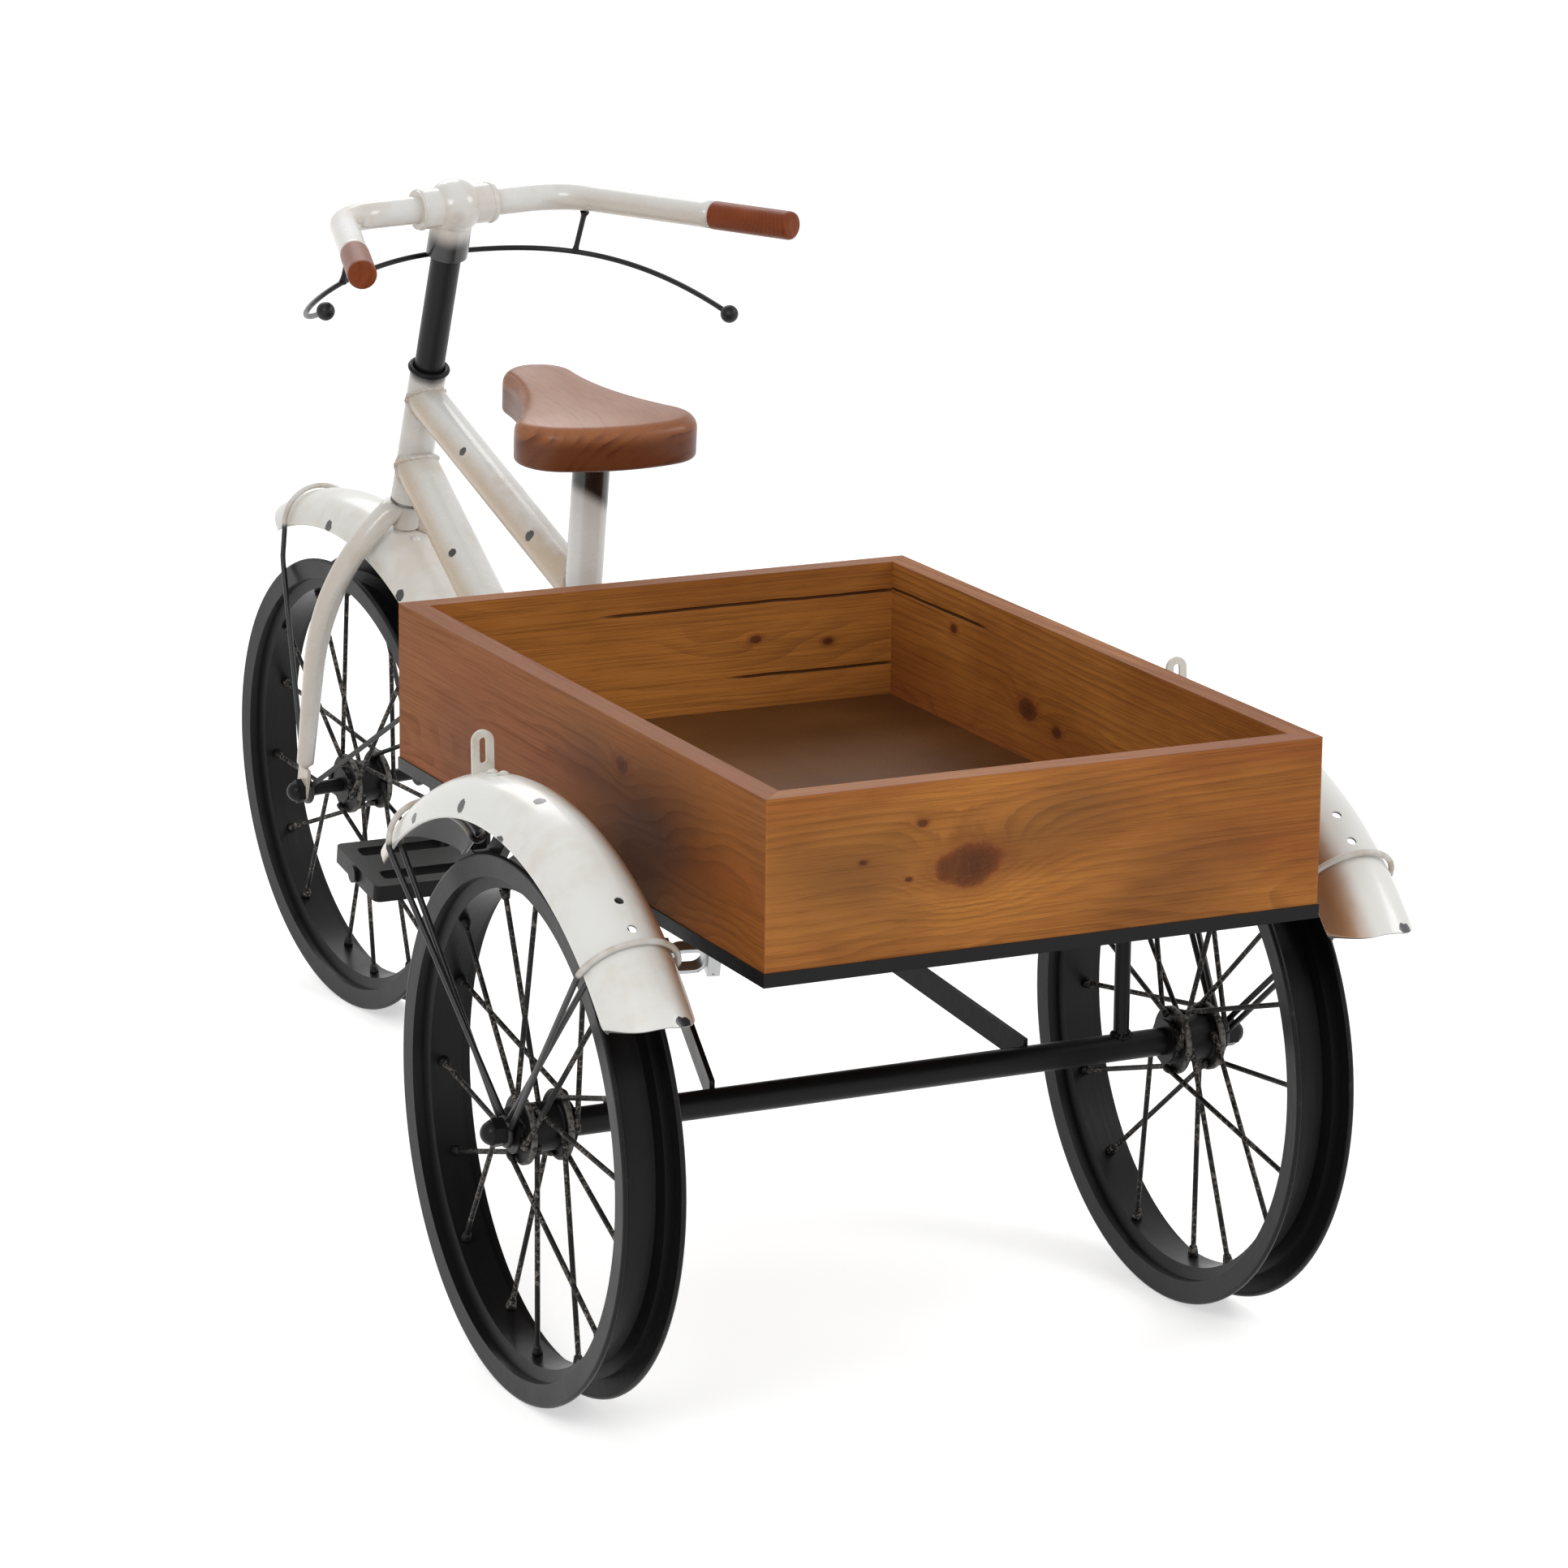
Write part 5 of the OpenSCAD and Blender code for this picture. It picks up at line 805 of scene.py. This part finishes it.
def bladeAt(side, s):
    # straight up from the hub, then in along an arc; the foot stands aside by the wheel's offset
    s = np.atleast_1d(s)
    bent = np.sqrt(np.maximum(fork["bend"] ** 2 - np.maximum(s - fork["straight"], 0) ** 2, 0))
    x = np.where(s <= fork["straight"], fork["spread"], fork["spread"] - fork["bend"] + bent)
    aside = -fork["set"] * (1 - (s / bladeTopS) ** 7)
    return np.c_[side * x + aside, 0 * s + trike["hub"][1], 0 * s + trike["hub"][2]] + s[:, None] * bladeDir


parts = []
for side in (-1, 1):
    share = np.linspace(0, 1, 60)
    s = fork["foot"] + (bladeTopS + 6 - fork["foot"]) * share
    radii = (fork["tip"] + (fork["blade"] - fork["tip"]) * np.minimum(1, 1.6 * share)) / 2
    radii = radii * np.sqrt(np.clip(share / 0.012, 0.25, 1))
    p, f = tube(bladeAt(side, s), radii, [0, math.cos(bladeLean), math.sin(bladeLean)], 32)
    over = np.maximum((p - pivot) @ steerAxis + 3.5, 0)      # the tops stay under the head tube's lower end
    parts.append((p - over[:, None] * steerAxis, f))
makePiece("blades", parts, onFork, bladeFinish, "fork", "cream_enamel", "fork_blades")
print("fork blades made")


# wire stays

stays = {"wire": 4.6, "bead": 3.6, "gap": 0.45, "rearAngles": (54.0, 128.4), "frontAngles": (74.0, 140.0),
         "eyeX": 291.9, "outerEnd": 85.4, "legAt": 9.4, "legAside": 3.4}
sectionMid = fenders["sectionR"] - fenders["thick"] / 2
stayOver = sectionMid + stays["bead"] / 2 + stays["gap"] + stays["wire"] / 2
stayUnder = sectionMid - stays["bead"] / 2 - stays["gap"] - stays["wire"] / 2
sectionC = fenders["radius"] - fenders["sectionR"]
edgeHalf = fenders["edgeHalf"]
beadReach = sectionC + sectionMid * math.cos(math.radians(edgeHalf))


def arch(c, angle, r, phi):
    # a point of the section's arc at phi, carried to an angle round the fender's own centre
    phi, a = np.radians(np.atleast_1d(phi)), math.radians(angle)
    reach = sectionC + r * np.cos(phi)
    return np.c_[r * np.sin(phi), c[0] + reach * math.cos(a), c[1] + reach * math.sin(a)]


def beadTurn(c, angle, turn):
    # half a turn round the rolled edge, from outside to inside
    turn, a, e = np.radians(turn), math.radians(angle), math.radians(edgeHalf)
    r = (stayOver - stayUnder) / 2
    reach = beadReach + r * np.cos(e + turn)
    across = -(sectionMid * math.sin(e) + r * np.sin(e + turn))
    return np.c_[across, c[0] + reach * math.cos(a), c[1] + reach * math.sin(a)]


def legFoot(x, hub, toward, aside):
    # where a leg meets the eye round the axle: on the line toward the fender, a little to one side of it
    d = unit(np.asarray(toward)[1:] - hub)
    out = stays["legAt"]
    return np.array([[x, hub[0] + d[0] * out - d[1] * aside, hub[1] + d[1] * out + d[0] * aside]])


def legRun(p, q, n=8):
    return np.asarray(p) + (np.asarray(q) - np.asarray(p)) * np.linspace(0, 1, n)[:, None]


parts = []
hubLine = np.array([0, trike["axleZ"]])
for side in (-1, 1):
    for angle in stays["rearAngles"]:
        c, aside = fenders["rear"], stays["legAside"]
        x = stays["eyeX"] + stays["wire"] / 2 - fenders["rearX"]
        far = arch(c, angle, stayOver, stays["outerEnd"])
        near = arch(c, angle, stayUnder, edgeHalf)
        path = np.vstack([
            legRun(legFoot(x, hubLine, far[0], aside), far)[:-1],
            arch(c, angle, stayOver, np.linspace(stays["outerEnd"], -edgeHalf + 4, 44)),
            beadTurn(c, angle, np.linspace(0, 180, 14)),
            arch(c, angle, stayUnder, np.linspace(-edgeHalf + 6, edgeHalf, 30)),
            legRun(near, legFoot(x, hubLine, near[0], -aside))[1:],
        ])
        a = math.radians(angle + 90)
        p, f = tube(eased(path, 1), stays["wire"] / 2, [0.001, math.cos(a), math.sin(a)], 14)
        parts.append(((p + [fenders["rearX"], 0, 0]) * [side, 1, 1], f))
    parts.append(flatRing([side * stays["eyeX"], 0, trike["axleZ"]], [side, 0, 0], 12, 6.1, stays["wire"], 0.9))
makePiece("rear_wires", parts, toModel, rearStayFinish, "frame", "stay_paint", "rear_fender_stays")

parts = []
frontEyeX = fork["spread"] - fork["tabThick"] / 2 - seated - stays["wire"]
hubYz = np.array(trike["hub"][1:])
for angle in stays["frontAngles"]:
    c = fenders["front"]
    x = frontEyeX + stays["wire"] / 2 - 0.1
    last = arch(c, angle, stayOver, stays["outerEnd"])[0]
    d = unit(last[1:] - hubYz)
    rimSide = [[-fork["set"] - 24 - stays["wire"] / 2 - 1.2, *(hubYz + 207 * d)]]     # swings out round the rim
    over = arch(c, angle, stayOver, np.linspace(stays["outerEnd"], -85.5, 50))
    path = np.vstack([
        legRun(legFoot(x - fork["set"], hubYz, last, 0), over[:1])[:-1], over,
        legRun(over[-1:], rimSide, 4)[1:-1], rimSide,
        legRun(rimSide, legFoot(-x - fork["set"], hubYz, last, 0))[1:],
    ])
    a = math.radians(angle + 90)
    parts.append(tube(eased(path, 2), stays["wire"] / 2, [0.001, math.cos(a), math.sin(a)], 14))
for side in (-1, 1):
    at = frontEyeX if side > 0 else -frontEyeX
    parts.append(flatRing([at - fork["set"], *hubYz], [side, 0, 0], 12, 4.6, stays["wire"], 0.9))
makePiece("front_wires", parts, onFork, frontStayFinish, "fork", "stay_paint", "front_fender_stays")
print("wire stays made")


# saddle

seat = {"half": 75.0, "nose": 31.0, "long": 220.0, "thick": 35.0, "corner": 36.0, "rearR": 160.0,
        "round": 11.0, "foot": 4.0, "back": 70.0, "z": 580.0, "tilt": 4.0, "turn": 3.0, "crown": 1.8}


def arcPoints(c, r, start, end, n):
    # c + r (cos a, sin a), a from start up to end but not at it
    a = np.radians(np.linspace(start, end, n, endpoint=False))
    return np.c_[c[0] + r * np.cos(a), c[1] + r * np.sin(a)]


def saddleOutline(inset):
    # one half from the middle of the rear edge to the nose: rear edge, corner, hollow flank, nose; then mirrored
    s = seat
    gap = s["half"] - s["corner"]
    corner = np.array([s["rearR"] - math.sqrt((s["rearR"] - s["corner"]) ** 2 - gap ** 2), gap])
    noseU = s["long"] - s["nose"]
    step = s["nose"] - corner[1]
    flank = ((noseU - corner[0]) ** 2 + step ** 2 - s["corner"] ** 2) / (2 * (s["corner"] - step))
    flankC = np.array([noseU, s["nose"] + flank])
    rearTurn = math.degrees(math.atan2(corner[1], s["rearR"] - corner[0]))
    flankTurn = math.degrees(math.atan2(flankC[1] - corner[1], flankC[0] - corner[0]))
    side = np.vstack([
        arcPoints((s["rearR"], 0), s["rearR"] - inset, 180, 180 - rearTurn, 12),
        arcPoints(corner, s["corner"] - inset, 180 - rearTurn, flankTurn, 22),
        arcPoints(flankC, flank + inset, flankTurn + 180, 270, 22),
        arcPoints((noseU, 0), s["nose"] - inset, 90, 0, 22),
        [[s["long"] - inset, 0]],
    ])
    return np.vstack([side[:, ::-1], side[-2:0:-1, ::-1] * [-1, 1]])


def saddleRings():
    # outlines stacked from the sole up and round the upper edge, then drawn in to the middle line under a slight crown
    rings = []
    for a in np.radians(np.linspace(0, 90, 6)):
        rings.append((seat["foot"] * (1 - math.sin(a)), seat["foot"] * (1 - math.cos(a))))
    rings.append((0.0, 14.0))
    for a in np.radians(np.linspace(0, 90, 11)):
        rings.append((seat["round"] * (1 - math.cos(a)), seat["thick"] - seat["round"] * (1 - math.sin(a))))
    stack = [np.c_[saddleOutline(inset), np.full(len(saddleOutline(0)), height)] for inset, height in rings]
    sole, top = (stack[0], np.linspace(0, 1, 8)[1:], 0.0), (stack[-1], np.linspace(0, 1, 10)[1:], seat["crown"])
    for base, shares, crown in (sole, top):
        spine = np.c_[0 * base[:, 0], np.clip(base[:, 1], 62, seat["long"] - 24), base[:, 2]]
        grown = [base + (spine - base) * t + [0, 0, crown * (1 - (1 - t) ** 2)] for t in shares]
        stack = grown[::-1] + stack if crown == 0.0 else stack + grown
    return np.array(stack)


def onSeat(points):
    points = turnAbout(points - [0, seat["back"], 0], [1, 0, 0], seat["tilt"], np.zeros(3))
    return toModel(turnAbout(points, [0, 0, 1], -seat["turn"], np.zeros(3)) + seatPoint(seat["z"]))


rings = saddleRings()
block = (rings, gridFaces(*rings.shape[:2], False).tolist())
makePiece("saddle_block", [block], onSeat, saddleFinish, "frame", "saddle_wood", "saddle")
print("saddle made")


# weld beads and spoke collars

welds = {"cream": 1.9, "seat": 2.0, "black": 2.2, "head": 15.5, "topTube": 16.0, "downTube": 18.4, "seatTube": 16.2,
         "post": 6.0, "axle": 10.5}
collars = {"spokes": 16, "hubR": 21.0, "seatR": 176.0, "bedR": 172.6, "cross": 64.0, "hubX": 267.7,
           "hubOut": (20.2, 9.9), "rimOut": (6.0, 1.6), "phases": {"left": 22.5, "right": 88.5, "front": 18.0}}


def weldSeam(start, along, radius, otherAt, otherAlong, otherRadius, bead, seed):
    # the line where one round tube meets another: start + r (a cos t + b sin t) + s along, with s where the
    # distance to the other tube's line is its radius; a lumpy bead of weld is laid on it
    along, other = unit(along), unit(otherAlong)
    a = unit(np.cross(along, [0.31, 0.2, 0.93]))
    b = np.cross(along, a)
    t = np.linspace(0, 2 * np.pi, 96, endpoint=False)
    q = np.asarray(start) + radius * (a * np.cos(t)[:, None] + b * np.sin(t)[:, None]) - np.asarray(otherAt)
    m = q - np.outer(q @ other, other)
    k = along - (along @ other) * other
    qa, qb, qc = k @ k, 2 * m @ k, (m * m).sum(1) - otherRadius ** 2
    s = (-qb - np.sqrt(np.maximum(qb * qb - 4 * qa * qc, 0))) / (2 * qa)
    line = np.asarray(otherAt) + q + s[:, None] * along
    lump = 1 + 0.22 * np.sin(t * 17 + 2 * np.sin(3 * t + seed)) + 0.12 * np.sin(t * 41 + seed)
    out = unit(m + s[:, None] * k)
    side = unit(np.cross(out, unit(np.roll(line, -1, 0) - np.roll(line, 1, 0))))
    v = np.linspace(0, 2 * np.pi, 10, endpoint=False)
    ring = out[:, None] * np.cos(v)[None, :, None] + side[:, None] * np.sin(v)[None, :, None]
    points = line[:, None] + (bead * lump)[:, None, None] * ring
    return points.reshape(-1, 3), gridFaces(len(t), len(v), True).tolist()


topA, topB = headPoint(100), seatPoint(459)
downA, downB = headPoint(36), seatPoint(302)
seatDir = unit(seatPoint(500) - seatPoint(300))
w = welds
creamWelds = [
    weldSeam(topB, topA - topB, w["topTube"], pivot, steerAxis, w["head"], w["cream"], 1),
    weldSeam(downB, downA - downB, w["downTube"], pivot, steerAxis, w["head"] + 3.2, w["cream"], 2),
    weldSeam(topA, topB - topA, w["topTube"], seatPoint(300), seatDir, w["seatTube"], w["seat"], 3),
]
makePiece("tube_welds", creamWelds, toModel, tubeFinish, "frame", "cream_enamel")


def spokeEnd(x, r, angle):
    return np.array([x, r * math.cos(angle), r * math.sin(angle)])


def spokeCollars(hubAt, body, tag):
    # a small collar on each spoke where it enters the rim's bed, and a bead of weld where it leaves the flange
    parts = []
    for k in range(collars["spokes"]):
        side = 1 if k % 2 == 0 else -1
        lead = 1 if (k // 2) % 2 == 0 else -1
        rimA = math.radians(collars["phases"][tag] + 360 / collars["spokes"] * k)
        hubA = rimA + lead * math.radians(collars["cross"])
        layer = 0 if lead > 0 else 1
        p = spokeEnd(side * collars["hubOut"][layer], collars["hubR"], hubA)
        q = spokeEnd(side * collars["rimOut"][layer], collars["seatR"], rimA)
        d = unit(q - p)
        reach = collars["bedR"] / np.linalg.norm(q[1:])
        atBed = q * [1, reach, reach] + np.array([-7.5, -6.8, -5.0, -2.0, 0.2])[:, None] * d
        atHub = p + np.array([-2.2, -1.2, 1.5, 4.5, 6.0])[:, None] * d
        parts.append(tube(atBed, np.array([2.2, 3.0, 3.4, 4.0, 4.2]), [1, 0.2, 0.1], 10))
        parts.append(tube(atHub, np.array([1.6, 2.9, 3.1, 2.6, 2.0]), [1, 0.2, 0.1], 8))

    def placed(points):
        return (onFork if tag == "front" else toModel)(points + np.asarray(hubAt))

    makePiece("spoke_collars_" + tag, parts, placed, spokeFinish, body, "black_paint")


spokeCollars((-collars["hubX"], 0, trike["axleZ"]), "rear_wheel_left", "left")
spokeCollars((collars["hubX"], 0, trike["axleZ"]), "rear_wheel_right", "right")
spokeCollars(trike["hub"], "front_wheel", "front")

axle = np.array([0, 0, trike["axleZ"]])
postX = 432.6 / 2 + 1 - 3 - w["post"] - seated      # the posts stand against the tray's side rails
blackWelds = [weldSeam([side * postX, 0, 370], [0, 0, -1], w["post"], axle, [1, 0, 0], w["axle"], w["black"], 5 + side)
              for side in (-1, 1)]
makePiece("axle_welds", blackWelds, toModel, blackFinish, "frame", "black_paint")
print("welds and collars made")


# floor, light and camera

stage = {"half": 30.0, "below": 0.0004, "pale": (0.82, 0.82, 0.82, 1.0), "lessPale": (0.8, 0.8, 0.8, 1.0),
         "world": 0.66, "air": (1.0, 0.995, 0.985, 1), "lift": 0.56}
# name: place, aimed at, side of the square, watts
lamps = {
    "soft_box_rear_left": ((-2.6, -2.9, 2.7), (0, -0.1, 0.4), 1.6, 46),
    "soft_box_right": ((2.9, -1.6, 2.3), (0, -0.1, 0.4), 1.4, 28),
    "soft_box_front": ((0.6, 3.0, 2.8), (0, 0, 0.4), 1.8, 26),
}


def whiteRays(wire):
    # 1 for the rays that see the background: the camera's own, mirrored ones and those through glass
    rays = [wire.node("LightPath", {}, {}, want="Is " + kind + " Ray") for kind in ("Camera", "Glossy", "Transmission")]
    return rays[0].math("MAXIMUM", rays[1]).math("MAXIMUM", rays[2])


def makeFloor():
    h, low = stage["half"], -stage["below"]
    mesh = bpy.data.meshes.new("studio_floor")
    mesh.from_pydata([(-h, -h, low), (h, -h, low), (h, h, low), (-h, h, low)], [], [(0, 1, 2, 3)])
    floor = bpy.data.objects.new("studio_floor", mesh)
    bpy.context.scene.collection.objects.link(floor)
    made = bpy.data.materials.new("studioFloor")
    made.use_nodes = True
    tree = made.node_tree
    tree.nodes.clear()
    wire = Wire(tree)
    cloud = wire.node("TexCoord", {}, {}, want="Object").noise(3, 2)
    pale = (cloud * 0.02).blend(stage["pale"], stage["lessPale"])
    seen = whiteRays(wire)
    lit = wire.node("BsdfDiffuse", {}, {"Color": pale})
    glow = wire.node("Emission", {}, {"Color": (1, 1, 1, 1), "Strength": seen * stage["lift"]})
    both = wire.node("AddShader", {}, {0: lit, 1: glow})
    out = tree.nodes.new("ShaderNodeOutputMaterial")
    tree.links.new(both.out, out.inputs["Surface"])
    mesh.materials.append(made)


def makeWorld():
    world = bpy.data.worlds.new("studio_air")
    bpy.context.scene.world = world
    world.use_nodes = True
    tree = world.node_tree
    tree.nodes.clear()
    wire = Wire(tree)
    seen = whiteRays(wire)
    air = wire.node("Background", {}, {"Color": stage["air"], "Strength": stage["world"]})
    white = wire.node("Background", {}, {"Color": (1, 1, 1, 1), "Strength": 1.0})
    both = wire.node("MixShader", {}, {0: seen, 1: air, 2: white})
    out = tree.nodes.new("ShaderNodeOutputWorld")
    tree.links.new(both.out, out.inputs["Surface"])


def makeLamp(name, place, target, size, watts):
    light = bpy.data.lights.new(name, "AREA")
    light.shape, light.size, light.energy = "SQUARE", size, watts
    lamp = bpy.data.objects.new(name, light)
    bpy.context.scene.collection.objects.link(lamp)
    lamp.location = place
    lamp.rotation_euler = (Vector(target) - Vector(place)).to_track_quat("-Z", "Y").to_euler()


makeFloor()
makeWorld()
for name, lamp in lamps.items():
    makeLamp(name, *lamp)

# the photo's own viewpoint: angles in radians, place in metres, lens in millimetres on a 36 mm wide picture
view = {"yaw": 0.4544, "pitch": 0.2537, "roll": 0.0105, "place": (-1.866643, -4.118982, 1.491663), "lens": 134.31}
cosYaw, sinYaw = math.cos(view["yaw"]), math.sin(view["yaw"])
cosPitch, sinPitch = math.cos(view["pitch"]), math.sin(view["pitch"])
cosRoll, sinRoll = math.cos(view["roll"]), math.sin(view["roll"])
ahead = Vector((sinYaw * cosPitch, cosYaw * cosPitch, -sinPitch))
right = Vector((cosYaw, -sinYaw, 0))
up = right.cross(ahead)
right, up = cosRoll * right + sinRoll * up, -sinRoll * right + cosRoll * up
lens = bpy.data.cameras.new("photo_camera")
lens.lens, lens.sensor_width, lens.sensor_fit, lens.clip_end = view["lens"], 36.0, "HORIZONTAL", 100.0
camera = bpy.data.objects.new("photo_camera", lens)
bpy.context.scene.collection.objects.link(camera)
turn = Matrix((right, up, -ahead)).transposed()
camera.matrix_world = Matrix.Translation(Vector(view["place"])) @ turn.to_4x4()
bpy.context.scene.camera = camera
bpy.context.scene.view_settings.view_transform = "Standard"
print("floor, light and camera set")
